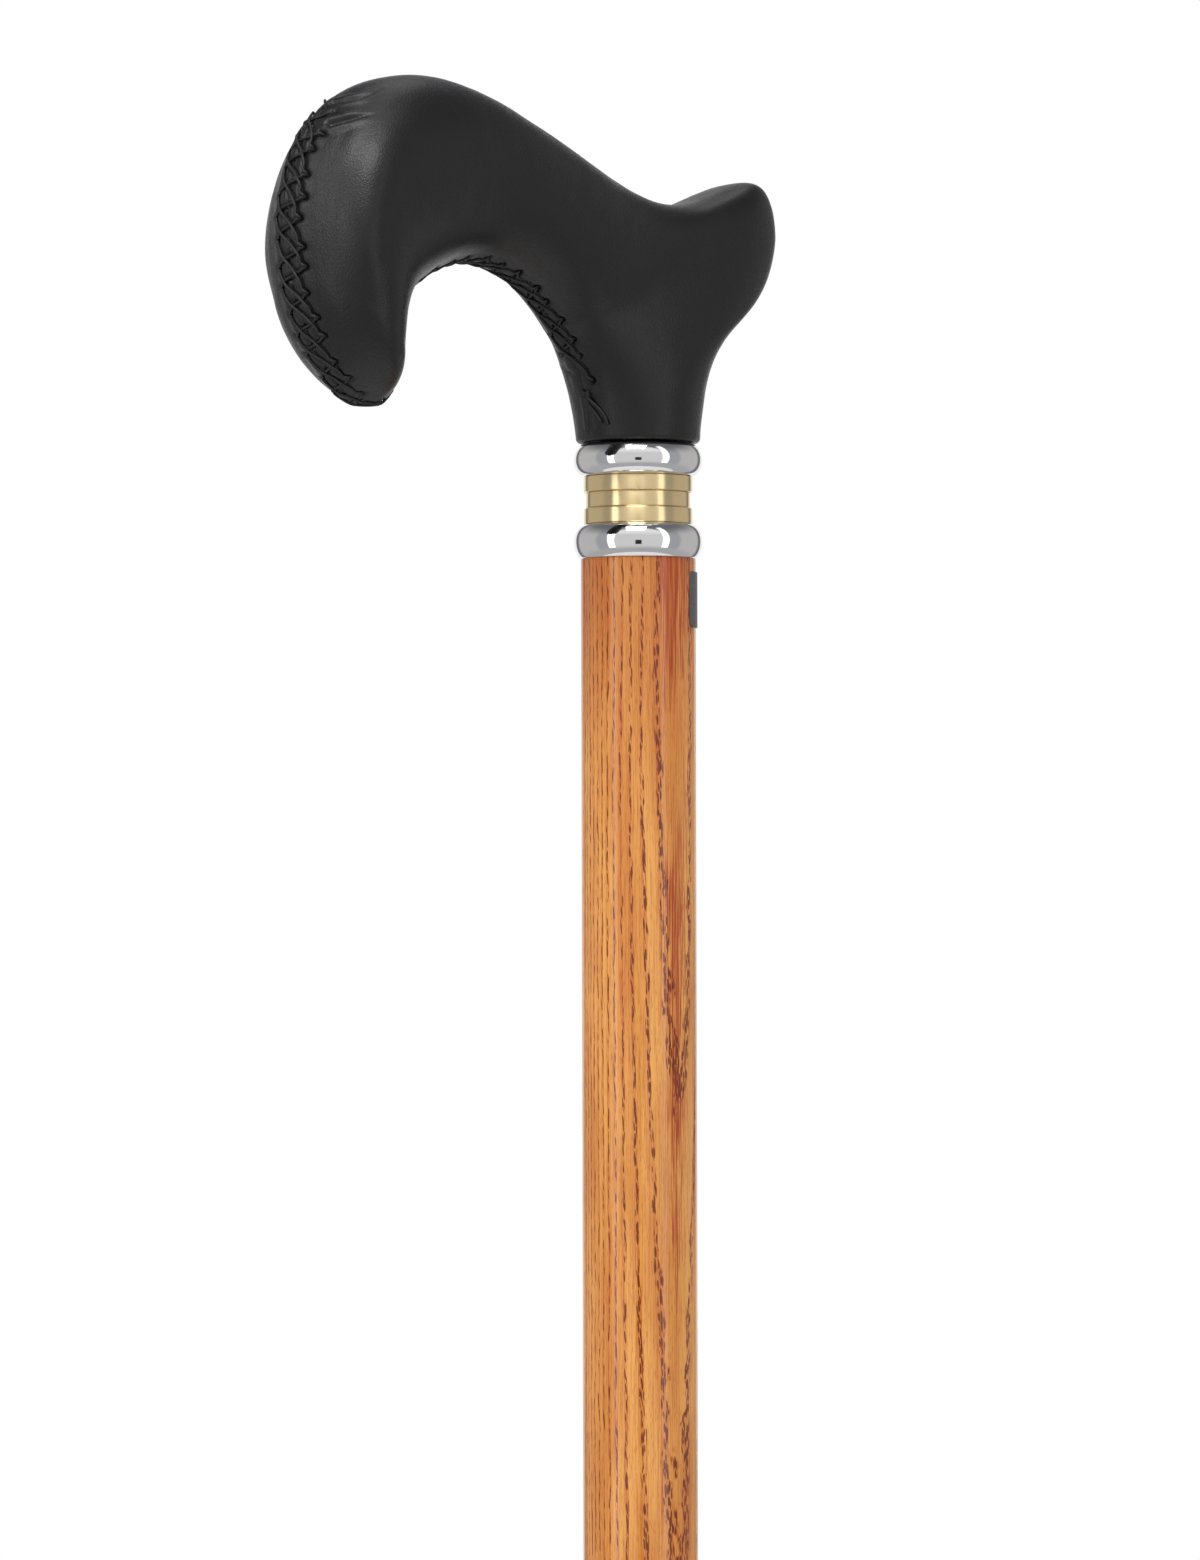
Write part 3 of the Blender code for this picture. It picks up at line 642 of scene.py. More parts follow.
def half_ring(middle, arm, half_width, facet=0.0):
    """Points from a ring's inner point over its +Y side to its outer point. They lie SEAM_FINE_STEP apart
    beside the two ends, where the seam may run, and evenly between."""
    longer = np.linalg.norm(arm) / max(half_width, 1e-9) - 1
    power = 2 + SIDE_FLATNESS * max(0.0, min(FLATTEST_RING, longer))
    turn = np.linspace(0.0, math.pi, RING_SAMPLES)
    reach = (np.abs(np.cos(turn)) ** power + np.abs(np.sin(turn)) ** power) ** (-1 / power)
    reach *= 1 + (FACET_REACH - 1) * facet
    along = -reach * np.cos(turn)
    across = reach * np.sin(turn)
    across[-1] = 0.0
    points = np.stack([middle[0] + arm[0] * along, half_width * across, middle[1] + arm[1] * along], axis=1)
    run = run_along(points)
    step = min(SEAM_FINE_STEP, run[-1] / HALF_RING_STEPS)
    plain_steps = HALF_RING_STEPS - INNER_FINE_STEPS - OUTER_FINE_STEPS
    plain = np.linspace(step * INNER_FINE_STEPS, run[-1] - step * OUTER_FINE_STEPS, plain_steps + 1)
    places = np.concatenate([step * np.arange(INNER_FINE_STEPS), plain,
                             run[-1] - step * np.arange(OUTER_FINE_STEPS)[::-1]])
    return np.stack([np.interp(places, run, points[:, k]) for k in range(3)], axis=1)


def full_ring(half):
    """Closes half a ring with its mirror image on the -Y side."""
    mirrored = half[-2:0:-1] * np.array((1, -1, 1))
    return np.concatenate([half, mirrored])


def skin_rings(stations, inset=0.0):
    """An array of rings: station, point on the ring, (x, y, z)."""
    frames = zip(*ring_frames(stations, inset), facet_share(stations))
    return np.array([full_ring(half_ring(*ring)) for ring in frames])


def ring_stations(low, coarseness=1.0):
    """Stations from low to the tip. They lie SEAM_LINE_STEP apart on the line that the seam follows, which
    is the inner one all the way and the outer one on the nose, and never further apart than
    PLAIN_LINE_STEP."""
    fine = np.linspace(low, TIP_STATION, LINE_SAMPLES)
    middle, arm, _ = ring_frames(fine)
    inner_run = np.linalg.norm(np.diff(middle - arm, axis=0), axis=1)
    outer_run = np.linalg.norm(np.diff(middle + arm, axis=0), axis=1)
    outer_step = np.where(fine[1:] > SEAM_FOLD_STATION, SEAM_LINE_STEP, PLAIN_LINE_STEP)
    steps = np.maximum(inner_run / SEAM_LINE_STEP, outer_run / outer_step) / coarseness
    count = np.concatenate([[0.0], np.cumsum(steps)])
    return np.interp(np.linspace(0.0, count[-1], round(count[-1]) + 1), count, fine)


def station_at_height(height):
    """The station on the stem whose ring lies at a height over the leather's foot."""
    fine = np.linspace(0.0, 1.0, STEM_SAMPLES)
    middle, _, _ = ring_frames(fine)
    return np.interp(HANDLE_BASE + height, middle[:, 1], fine)


def seam_path():
    """The seam's line, SEAM_SAMPLE a step: points, outward directions, and its runs at the knot, the nose's
    tip and the last stitch. It climbs the stem's inner line, goes round the tip and up the nose's front to
    where the fold dies out."""
    stations = np.concatenate([np.linspace(SEAM_FIRST_STATION, TIP_STATION, INNER_SAMPLES),
                               np.linspace(TIP_STATION, SEAM_FOLD_STATION, NOSE_SAMPLES)[1:]])
    side = np.where(np.arange(len(stations)) < INNER_SAMPLES, -1.0, 1.0)
    middle, arm, _ = ring_frames(stations)
    line = middle + arm * side[:, None]
    run = run_along(line)
    knot = np.interp(SEAM_KNOT_STATION, stations[:INNER_SAMPLES], run[:INNER_SAMPLES])
    top = np.interp(-SEAM_TOP_STATION, -stations[INNER_SAMPLES:], run[INNER_SAMPLES:])
    places = np.arange(0.0, run[-1], SEAM_SAMPLE)
    points = np.stack([np.interp(places, run, line[:, 0]), np.zeros(len(places)),
                       np.interp(places, run, line[:, 1])], axis=1)
    along = np.gradient(points, axis=0)
    along /= np.linalg.norm(along, axis=1)[:, None]
    outward = np.stack([-along[:, 2], np.zeros(len(along)), along[:, 0]], axis=1)
    return points, outward, knot, run[INNER_SAMPLES - 1], top


SEAM_POINTS, SEAM_OUTWARD, SEAM_KNOT_RUN, SEAM_TIP_RUN, SEAM_TOP_RUN = seam_path()


def bell(distance, width):
    """1 at no distance, falling off over the width."""
    return np.exp(-(distance / width) ** 2)


def stitch_count(settings):
    return int((SEAM_TOP_RUN - SEAM_KNOT_RUN) / settings.stitch_pitch)


def seam_width_share(run, step=smooth_step):
    """How wide the seam is at a run, as a share of its full width."""
    return STEM_SEAM_SHARE + (1 - STEM_SEAM_SHARE) * step(run, STEM_SEAM_END, ARCH_SEAM_START)


def needle_hole(index, side, settings, sine=np.sin, step=smooth_step):
    """The run along the seam and the sideways place of a needle hole. The +Y holes have side 1, and the -Y
    holes, with side -1, lie a little lower. Each hole is off its place by a small amount."""
    lag = settings.stagger * (1 - side) / 2
    wander = sine(index * GOLDEN_ANGLE + side) * settings.unevenness
    run = SEAM_KNOT_RUN + (index + 1 - lag + wander) * settings.stitch_pitch
    reach = (sine(index * 1.7 * GOLDEN_ANGLE - side) * settings.unevenness + 1) * settings.seam_half_width
    return run, reach * side * seam_width_share(run, step) + settings.seam_aside


def crossed_share(share, step=smooth_step):
    """How much of its way across a strand has gone at a share of its way down."""
    return sum(part * step(share, low, high) for part, low, high in STRAND_BENDS)


def strand_lines(settings, step_count=64):
    """Points (run, across) of each strand of thread: a long one down from each +Y hole and a short one down
    from each -Y hole, both to the other side."""
    lines = []
    share = np.linspace(0.0, 1.0, step_count)
    for k in range(LONG_REACH, stitch_count(settings)):
        for side, reach in ((1, LONG_REACH), (-1, SHORT_REACH)):
            start = needle_hole(k, side, settings)
            end = needle_hole(k - reach, -side, settings)
            run = start[0] + (end[0] - start[0]) * share
            across = start[1] + (end[1] - start[1]) * crossed_share(share)
            lines.append(np.stack([run, across, np.zeros(step_count)], axis=1))
    return lines


def nearest(points):
    """A search tree over an array of points."""
    tree = kdtree.KDTree(len(points))
    for i, point in enumerate(points):
        tree.insert(point, i)
    tree.balance()
    return tree


def fold(run, across, line, depth, width):
    """A sharp fold along a line of places (run, across) that narrows and fades out to its last one, with a
    soft swell on both sides."""
    line = np.array(line)
    legs = np.linalg.norm(np.diff(line, axis=0), axis=1)
    gap = np.full(len(run), np.inf)
    share = np.zeros(len(run))
    for k, leg in enumerate(legs):
        way = (line[k + 1] - line[k]) / leg
        along = np.clip((run - line[k, 0]) * way[0] + (across - line[k, 1]) * way[1], 0.0, leg)
        off = np.hypot(run - line[k, 0] - along * way[0], across - line[k, 1] - along * way[1])
        closer = off < gap
        gap[closer] = off[closer]
        share[closer] = (legs[:k].sum() + along[closer]) / legs.sum()
    fade = 1 - smooth_step(share, FOLD_FADE_START, 1.0)
    wide = width * (FOLD_END_WIDTH + (1 - FOLD_END_WIDTH) * fade)
    rise, place, spread = FOLD_SWELL
    return fade * depth * (rise * bell(gap - place * wide, spread * wide) - bell(gap, wide))


def seam_relief(run, across, settings):
    """How far the leather stands out of its smooth form at places beside the seam: puffed lips, drawn in
    under each strand of thread, pricked at the needle holes and parted by the slit between its two
    edges."""
    sewn = smooth_step(run - SEAM_KNOT_RUN, *SEWN_START) * (1 - smooth_step(run - SEAM_TOP_RUN, *SEWN_END))
    half = settings.seam_half_width * seam_width_share(run)
    aside = across - settings.seam_aside
    lips = settings.lip_height * (1 - smooth_step(np.abs(aside) / half, *LIP_FALL)) * sewn
    strands = nearest(np.concatenate(strand_lines(settings)))
    holes = nearest([(place, beside * HOLE_STRETCH, 0.0) for k in range(stitch_count(settings))
                     for place, beside in (needle_hole(k, 1, settings), needle_hole(k, -1, settings))])
    strand_gap = np.full(len(run), 1.0)
    hole_gap = np.full(len(run), 1.0)
    for i in np.nonzero(np.abs(aside) < STRAND_SEARCH * half)[0]:
        strand_gap[i] = strands.find((run[i], across[i], 0.0))[2]
        hole_gap[i] = holes.find((run[i], across[i] * HOLE_STRETCH, 0.0))[2]
    shallower = 1 - TIP_GROOVE_LOSS * bell(run - SEAM_TIP_RUN, TIP_GROOVE_SPREAD)
    grooves = settings.groove_depth * bell(strand_gap, settings.groove_width) * shallower
    pricks = HOLE_DEPTH * settings.groove_depth * bell(hole_gap, settings.groove_width)
    wander = sum(swing * np.sin(run * waves + start) for swing, waves, start in SLIT_WANDER)
    deep = UNSEWN_SLIT + (1 - UNSEWN_SLIT) * sewn
    parted = settings.slit_depth * deep * bell(aside - wander, settings.slit_width)
    parted *= 1 - smooth_step(run - SEAM_TOP_RUN, *SLIT_END)
    rise, place, width = BUTT_EDGE
    edge = rise * bell(np.abs(aside) - place, width) * (1 - sewn) * (run < SEAM_KNOT_RUN)
    folds = sum(fold(run, across, [(SEAM_TOP_RUN + past, beside) for past, beside in line], depth, width)
                for line, depth, width in FOLDS)
    return lips - grooves - pricks - parted + edge + folds


def leather_relief(points, settings):
    """The leather's height over its smooth form at an array of points."""
    relief = np.array([sum(rise * noise.noise(point * waves) for rise, waves in LEATHER_WAVES)
                       for point in points])
    line = nearest(SEAM_POINTS)
    found = []
    for i in np.nonzero(np.abs(points[:, 1]) < SEAM_BAND)[0]:
        x, y, z = points[i]
        _, k, gap = line.find((x, 0.0, z))
        if gap < SEAM_LINE_REACH:
            found.append((i, k * SEAM_SAMPLE, y))
    found = np.array(found)
    index = found[:, 0].astype(int)
    relief[index] += seam_relief(found[:, 1], found[:, 2], settings)
    return np.maximum(relief, -DEEPEST_RELIEF)


def grid_normals(rings):
    """Outward directions at each point of a skin of rings."""
    along = np.gradient(rings, axis=0)
    around = np.roll(rings, -1, axis=1) - np.roll(rings, 1, axis=1)
    normals = np.cross(along, around)
    length = np.linalg.norm(normals, axis=2)
    length[length == 0] = 1.0
    normals /= length[:, :, None]
    middles = rings.mean(axis=1, keepdims=True)
    if ((rings - middles) * normals).sum() < 0:
        normals = -normals
    return normals


def skin_mesh(name, rings, first_pole, last_pole):
    """Faces between rings of equal counts, closed by a point at each end."""
    ring_count, size, _ = rings.shape
    points = np.concatenate([rings.reshape(-1, 3), [first_pole, last_pole]])
    low_pole = ring_count * size
    faces = []
    for r in range(ring_count - 1):
        base = r * size
        for i in range(size):
            j = (i + 1) % size
            faces.append((base + i, base + j, base + size + j, base + size + i))
    last = (ring_count - 1) * size
    for i in range(size):
        j = (i + 1) % size
        faces.append((low_pole, j, i))
        faces.append((last + i, last + j, low_pole + 1))
    mesh = bpy.data.meshes.new(name)
    mesh.from_pydata(points.tolist(), [], faces)
    return mesh


def ended(bm, mesh):
    """Puts a bmesh into a mesh."""
    bm.to_mesh(mesh)
    bm.free()
    return mesh


def face_outwards(mesh):
    """Merges doubled points and turns all faces outwards."""
    bm = bmesh.new()
    bm.from_mesh(mesh)
    bmesh.ops.remove_doubles(bm, verts=bm.verts, dist=1e-7)
    bmesh.ops.recalc_face_normals(bm, faces=bm.faces)
    return ended(bm, mesh)


def placed(name, data):
    """A new object in the scene."""
    made = bpy.data.objects.new(name, data)
    bpy.context.scene.collection.objects.link(made)
    return made


def new_piece(name, mesh, finish, body, slot, *nodes, sharp_angle=None):
    """Puts a finished mesh in the scene, on its body and in place of its nodes."""
    face_outwards(mesh)
    mesh.materials.clear()
    mesh.materials.append(finish)
    mesh.shade_smooth()
    if sharp_angle is not None:
        mesh.set_sharp_from_angle(angle=math.radians(sharp_angle))
    made = placed(name, mesh)
    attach(made, body)
    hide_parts(*nodes)


def new_tree(name, inputs):
    """An empty Geometry Nodes tree with named inputs: its graph and each input's value."""
    tree = bpy.data.node_groups.new(name, "GeometryNodeTree")
    tree.interface.new_socket(name="Geometry", in_out="INPUT", socket_type="NodeSocketGeometry")
    for label, kind in inputs:
        tree.interface.new_socket(name=label, in_out="INPUT", socket_type=kind)
    tree.interface.new_socket(name="Geometry", in_out="OUTPUT", socket_type="NodeSocketGeometry")
    graph = Graph(tree)
    entry = graph.node("NodeGroupInput")
    return tree, graph, {label: entry.also(label) for label in ("Geometry", *dict(inputs))}


def end_tree(graph, geometry, finish):
    real = graph.node("GeometryNodeRealizeInstances", {0: geometry})
    coloured = graph.node("GeometryNodeSetMaterial", {"Geometry": real, "Material": finish})
    graph.node("NodeGroupOutput", {0: coloured})


def grown_mesh(name, source, tree, values):
    """The plain mesh that a tree makes from a source mesh, with values for its named inputs."""
    carrier = placed(name, source)
    modifier = carrier.modifiers.new(tree.name, "NODES")
    modifier.node_group = tree
    for item in tree.interface.items_tree:
        if item.in_out == "INPUT" and item.name in values:
            modifier[item.identifier] = values[item.name]
    depsgraph = bpy.context.evaluated_depsgraph_get()
    made = bpy.data.meshes.new_from_object(carrier.evaluated_get(depsgraph))
    bpy.data.objects.remove(carrier, do_unlink=True)
    made.name = name
    return made


def lathe_tree():
    """Turns a profile of points (radius, 0, height) round the Z axis."""
    tree, graph, given = new_tree("Lathe", [
        ("Sides", "NodeSocketInt"), ("Merge Distance", "NodeSocketFloat"),
        ("Material", "NodeSocketMaterial")])
    profile = given["Geometry"]
    sides = given["Sides"]
    rows = graph.node("GeometryNodeAttributeDomainSize", {0: profile}, component="MESH")
    grid = graph.node("GeometryNodeMeshGrid", {"Vertices X": sides + 1, "Vertices Y": rows})
    index = graph.node("GeometryNodeInputIndex")
    column = ((index + 0.5) / rows).floor()
    row = index - column * rows
    position = graph.node("GeometryNodeInputPosition")
    point = graph.node("GeometryNodeSampleIndex", {"Geometry": profile, "Value": position, "Index": row},
                       data_type="FLOAT_VECTOR")
    radius, _, height = graph.parts(point)
    turn = column / sides * math.tau
    place = graph.vector(radius * turn.cosine(), radius * turn.sine(), height)
    turned = graph.node("GeometryNodeSetPosition", {"Geometry": grid, "Position": place})
    closed = graph.node("GeometryNodeMergeByDistance", {0: turned, "Distance": given["Merge Distance"]})
    end_tree(graph, closed, given["Material"])
    return tree


def turned_mesh(name, profile, finish, sides, ring=False):
    """A closed body turned from a profile of (radius, z). A ring's profile joins up with its start."""
    if ring:
        profile = [*profile, profile[0]]
    source = bpy.data.meshes.new(name + "_profile")
    source.from_pydata([(radius, 0.0, z) for radius, z in profile],
                       [(i, i + 1) for i in range(len(profile) - 1)], [])
    tree = bpy.data.node_groups.get("Lathe") or lathe_tree()
    return grown_mesh(name, source, tree, {"Sides": sides, "Merge Distance": 1e-6, "Material": finish})


def arc(middle, radius, start, end, steps=8):
    """Points (r, z) along part of a circle, from one angle to another in degrees."""
    turns = [math.radians(start + (end - start) * i / steps) for i in range(steps + 1)]
    return [(middle[0] + radius * math.cos(turn), middle[1] + radius * math.sin(turn)) for turn in turns]


STITCH_SIZES = {
    "stitch_pitch": "Stitch Pitch",
    "seam_half_width": "Half Width",
    "seam_aside": "Aside",
    "stagger": "Stagger",
    "unevenness": "Unevenness",
    "thread_radius": "Thread Radius",
    "lip_height": "Lip Height",
}


def stitch_tree():
    """Lays strands of thread over a seam, each from a needle hole on one side to one on the other."""
    tree, graph, given = new_tree("Hand stitches", [
        ("Form", "NodeSocketObject"), ("Strands", "NodeSocketInt"),
        *((label, "NodeSocketFloat") for label in STITCH_SIZES.values()),
        ("Material", "NodeSocketMaterial")])
    sizes = SimpleNamespace(**{name: given[label] for name, label in STITCH_SIZES.items()})
    line = graph.node("GeometryNodeMeshToCurve", {0: given["Geometry"]})
    index = graph.node("GeometryNodeInputIndex")
    strand = ((index + 0.5) / POINTS_A_STRAND).floor()
    step = (index - strand * POINTS_A_STRAND) / (POINTS_A_STRAND - 1)
    share = step - (step * math.tau).sine() * POINT_CROWDING
    stitch = ((strand + 0.5) / 2).floor()
    short = strand - stitch * 2
    side = 1 - short * 2
    start_run, start_across = needle_hole(stitch + LONG_REACH, side, sizes, Value.sine, Value.ramp)
    end_run, end_across = needle_hole(stitch + short * (LONG_REACH - SHORT_REACH), side * -1, sizes,
                                      Value.sine, Value.ramp)
    run = start_run + (end_run - start_run) * share
    across = start_across + (end_across - start_across) * crossed_share(share, Value.ramp)
    outward = graph.node("GeometryNodeInputNamedAttribute", {"Name": "outward"}, data_type="FLOAT_VECTOR")
    sampled = graph.node("GeometryNodeSampleCurve", {"Curves": line, "Value": outward, "Length": run},
                         data_type="FLOAT_VECTOR", mode="LENGTH")
    middle = sampled.also("Position")
    above = graph.vector_math("ADD", middle, graph.vector(0.0, across, 0.0))
    above = graph.vector_math("ADD", above, graph.scaled(sampled, DROP_START))
    landing = graph.node("GeometryNodeRaycast", {
        "Target Geometry": graph.node("GeometryNodeObjectInfo", {0: given["Form"]}, output="Geometry"),
        "Source Position": above, "Ray Direction": graph.scaled(sampled, -1.0), "Ray Length": DROP_LENGTH},
        output="Hit Position", data_type="FLOAT")
    from_middle = (across - sizes.seam_aside).absolute()
    half = sizes.seam_half_width * seam_width_share(run, Value.ramp)
    lip = sizes.lip_height * (1 - (from_middle / half).ramp(*LIP_FALL))
    over = sum((((share - crossing) / CROSSING_WIDTH) ** 2.0 * -1).exponent()
               for crossing in STRAND_CROSSINGS)
    risen = (share * (1 - share)).ramp(0.0, RISEN_SHARE)
    long_ride, short_dip = (along + over * crossing for along, crossing in (LONG_RIDE, SHORT_DIP))
    ride = risen * STRAND_RISE - STRAND_DEPTH + long_ride * (1 - short) - short_dip * short
    lift = lip + sizes.thread_radius * ride
    place = graph.vector_math("ADD", landing, graph.scaled(landing.also("Hit Normal"), lift))
    count = given["Strands"] * POINTS_A_STRAND
    cloud = graph.node("GeometryNodePoints", {"Count": count, "Position": place})
    curves = graph.node("GeometryNodePointsToCurves", {0: cloud, "Curve Group ID": strand, "Weight": step})
    thread = graph.node("GeometryNodeCurvePrimitiveCircle",
                        {"Resolution": 6, "Radius": sizes.thread_radius}, mode="RADIUS")
    mesh = graph.node("GeometryNodeCurveToMesh", {0: curves, "Profile Curve": thread, "Fill Caps": True})
    end_tree(graph, mesh, given["Material"])
    return tree


def thread_tail(line, form, settings):
    """A free end of thread: a smooth curve through places (run, across, lift) laid on the form."""
    data = bpy.data.curves.new("thread_tail", "CURVE")
    data.dimensions = "3D"
    data.bevel_depth = settings.thread_radius
    data.bevel_resolution = 2
    data.use_fill_caps = True
    spline = data.splines.new("NURBS")
    spline.points.add(len(line) - 1)
    spline.use_endpoint_u = True
    spline.order_u = 3
    spline.resolution_u = 6
    for point, (run, across, lift) in zip(spline.points, line):
        k = min(len(SEAM_POINTS) - 1, round(run / SEAM_SAMPLE))
        outward = Vector(SEAM_OUTWARD[k])
        start = Vector(SEAM_POINTS[k]) + Vector((0, across, 0)) + outward * SEAM_BAND
        landing, normal, _, _ = form.ray_cast(start, -outward)
        point.co = (*(landing + normal * lift), 1.0)
    carrier = bpy.data.objects.new("thread_tail", data)
    mesh = bpy.data.meshes.new_from_object(carrier)
    bpy.data.objects.remove(carrier)
    return mesh


def thread_ends(form, settings):
    """The knot on the stem with its two tails, and the small end that stands out at the seam's top."""
    radius = settings.thread_radius
    share, waves = KNOT_WOBBLE
    middle, swing, height_waves = KNOT_HEIGHT
    knot = []
    for i in range(KNOT_POINTS):
        turn = i * math.tau / KNOT_TURN_POINTS
        wobble = 1 + share * math.sin(waves * turn)
        knot.append((KNOT_REACH * radius * math.cos(turn) * wobble,
                     KNOT_ASIDE + KNOT_REACH * radius * math.sin(turn),
                     middle + swing * math.sin(height_waves * turn)))
    tails = []
    for start, line in (*((SEAM_KNOT_RUN, tail) for tail in KNOT_TAILS), (SEAM_TOP_RUN, TOP_TAIL),
                        (SEAM_KNOT_RUN, knot)):
        places = [(start + past, aside, lift * radius) for past, aside, lift in line]
        tails.append(thread_tail(places, form, settings))
    return tails


def joined(name, meshes):
    """One mesh from several."""
    bm = bmesh.new()
    for mesh in meshes:
        bm.from_mesh(mesh)
    return ended(bm, bpy.data.meshes.new(name))


def tip_point(inset=0.0):
    """The pole of the nose's tip."""
    x, z = ring_frames(np.array([float(TIP_STATION)]), inset)[0][0]
    return x, 0.0, z


def form_mesh(name):
    """The handle's smooth outer form alone, for the thread to lie on."""
    rings = skin_rings(ring_stations(FORM_FIRST_STATION, FORM_COARSENESS)[:-1])
    return face_outwards(skin_mesh(name, rings, rings[0].mean(axis=0), tip_point()))


def tint(name, description, *default):
    return FloatVectorProperty(name=name, description=description, size=3, subtype="COLOR", default=default)


def number(name, description, default, **more):
    return FloatProperty(name=name, description=description, default=default, **more)


def metres(name, description, default):
    return number(name, description, default, unit="LENGTH")


def whole(name, description, default):
    return IntProperty(name=name, description=description, default=default)


class HandleSettings(bpy.types.PropertyGroup):
    """Sizes and colours of the leather and its seam."""
    colour: tint("Leather", "Colour of the leather's pebbles", 0.0042, 0.0042, 0.0047)
    # Painted shade: the darker colour laid into the grain's creases
    crease_shade_colour: tint("Creases", "Colour between the pebbles", 0.0022, 0.0022, 0.0024)
    roughness: number("Roughness", "Roughness of the leather", 0.34)
    shine: number("Shine", "Strength of the leather's reflection", 0.42)
    grain_size: metres("Grain size", "Width of one pebble of the grain", 0.00038)
    grain_depth: metres("Grain depth", "Depth of the creases of the grain", 0.000020)
    seam_half_width: metres("Seam half-width", "From the slit to a row of holes", 0.0037)
    seam_aside: metres("Seam aside", "How far the slit lies off the middle, towards +Y", 0.0004)
    stitch_pitch: metres("Stitch pitch", "From one needle hole to the next", 0.00435)
    stagger: number("Stagger", "Lag of the -Y holes, as a share of the pitch", 0.29)
    unevenness: number("Unevenness", "Wander of the hand-made holes, as a share", 0.11)
    thread_radius: metres("Thread radius", "Radius of the thread", 0.00027)
    thread_colour: tint("Thread", "Colour of the waxed thread", 0.009, 0.008, 0.008)
    lip_height: metres("Lip height", "Rise of the leather's sewn edges", 0.00042)
    groove_depth: metres("Groove depth", "How far the thread pulls the leather in", 0.00062)
    groove_width: metres("Groove width", "Half-width of the pulled-in leather", 0.00052)
    slit_depth: metres("Slit depth", "Depth of the joint between the two edges", 0.00055)
    slit_width: metres("Slit width", "Half-width of the joint between the two edges", 0.00030)


class CollarSettings(bpy.types.PropertyGroup):
    """Sizes and colours of the collar's five rings."""
    chrome_colour: tint("Chrome", "Colour of the beads", 0.80, 0.80, 0.81)
    brass_colour: tint("Brass", "Colour of the bands", 0.89, 0.72, 0.42)
    brass_turning: number("Brass turning", "Turn of the shine against the lathe's lines", 0.25)
    bead_bulge: metres("Bead bulge", "Rise of a bead over its shoulders", 0.0023)
    band_bevel: metres("Band bevel", "Width of a band's turned edge", 0.00026)
    bore_radius: metres("Bore radius", "Radius of the bore for the tenon", 0.0068)
    sides: whole("Sides", "Steps round a ring", 144)


class ShaftSettings(bpy.types.PropertyGroup):
    """Sizes and colours of the shaft and its label."""
    tan_colour: tint("Tan", "Darker stain of the plain wood", 0.64, 0.248, 0.052)
    pale_colour: tint("Pale", "Paler stain of the plain wood", 0.79, 0.372, 0.097)
    stain_colour: tint("Stain", "Stain that gathers under the collar", 0.47, 0.125, 0.030)
    halo_colour: tint("Halo", "Colour round the rows of pores", 0.45, 0.099, 0.020)
    ring_colour: tint("Ring", "Colour of the porous part of a ring", 0.37, 0.056, 0.014)
    pore_colour: tint("Pore", "Colour in the pores", 0.150, 0.024, 0.008)
    ring_spacing: metres("Ring spacing", "Width of one growth ring", 0.00175)
    grain_azimuth: number("Grain azimuth", "Direction in which the rings were laid down", -91.0)
    ring_narrowing: number("Ring narrowing", "How much narrower each deeper ring is", 0.043)
    grain_lean: metres("Grain lean", "How far the outer rings lean out of the shaft", 0.00235)
    pore_slant: number("Pore slant", "Slope of the pores against their ring", 0.10)
    lacquer_roughness: number("Lacquer roughness", "Roughness of the clear lacquer", 0.11)
    sides: whole("Sides", "Steps round the shaft", 128)
    tenon_radius: metres("Tenon radius", "Radius of the tenon in the collar", 0.0065)
    label_colour: tint("Label", "Colour of the label", 0.085, 0.078, 0.076)
    label_corner: metres("Label corner", "Radius of the label's corners", 0.0012)


class FerruleSettings(bpy.types.PropertyGroup):
    """Sizes and colour of the rubber ferrule."""
    rubber_colour: tint("Rubber", "Colour of the clean rubber", 0.020, 0.020, 0.021)
    foot_height: metres("Foot height", "Height of the wide foot", 0.0065)
    foot_flare: metres("Foot flare", "How far the foot stands out of the neck", 0.0057)
    bead_proud: metres("Bead", "How far the mouth's bead stands out", 0.0008)
    floor: metres("Floor", "Rubber under the shaft", 0.0085)
    socket_radius: metres("Socket radius", "Radius of the socket", 0.01011)
    sides: whole("Sides", "Steps round the ferrule", 120)


class StageSettings(bpy.types.PropertyGroup):
    """The camera and the studio's light."""
    view_azimuth: number("View azimuth", "Turn of the camera's view from +Y towards +X", 42.0)
    camera_distance: metres("Camera distance", "From the shaft's axis to the camera", 0.8039)
    camera_aside: metres("Camera aside", "How far left of the shaft the camera stands", 0.00743)
    camera_drop: metres("Camera drop", "How far under the leather's foot the camera stands", 0.0644)
    camera_roll: number("Camera roll", "Turn of the camera round its view", 0.143)
    focal_pixels: number("Focal length", "Focal length in pixels of a 1200 x 1560 frame", 4200.0)
    key_light: number("Left strip", "Brightness of the left strip light", 4.8)
    low_light: number("Left strip, low", "Brightness of its lower part", 1.5)
    side_light: number("Right strip", "Brightness of the right strip light", 1.15)
    top_light: number("Top light", "Brightness of the light overhead", 1.2)
    front_light: number("Front light", "Brightness of the box over the camera", 7.5)
    fill_light: number("Fill", "Brightness of the room on plain surfaces", 0.66)


def camera_axes(settings):
    """The view's level directions: forward and right."""
    turn = math.radians(settings.view_azimuth)
    return Vector((math.sin(turn), math.cos(turn), 0)), Vector((math.cos(turn), -math.sin(turn), 0))


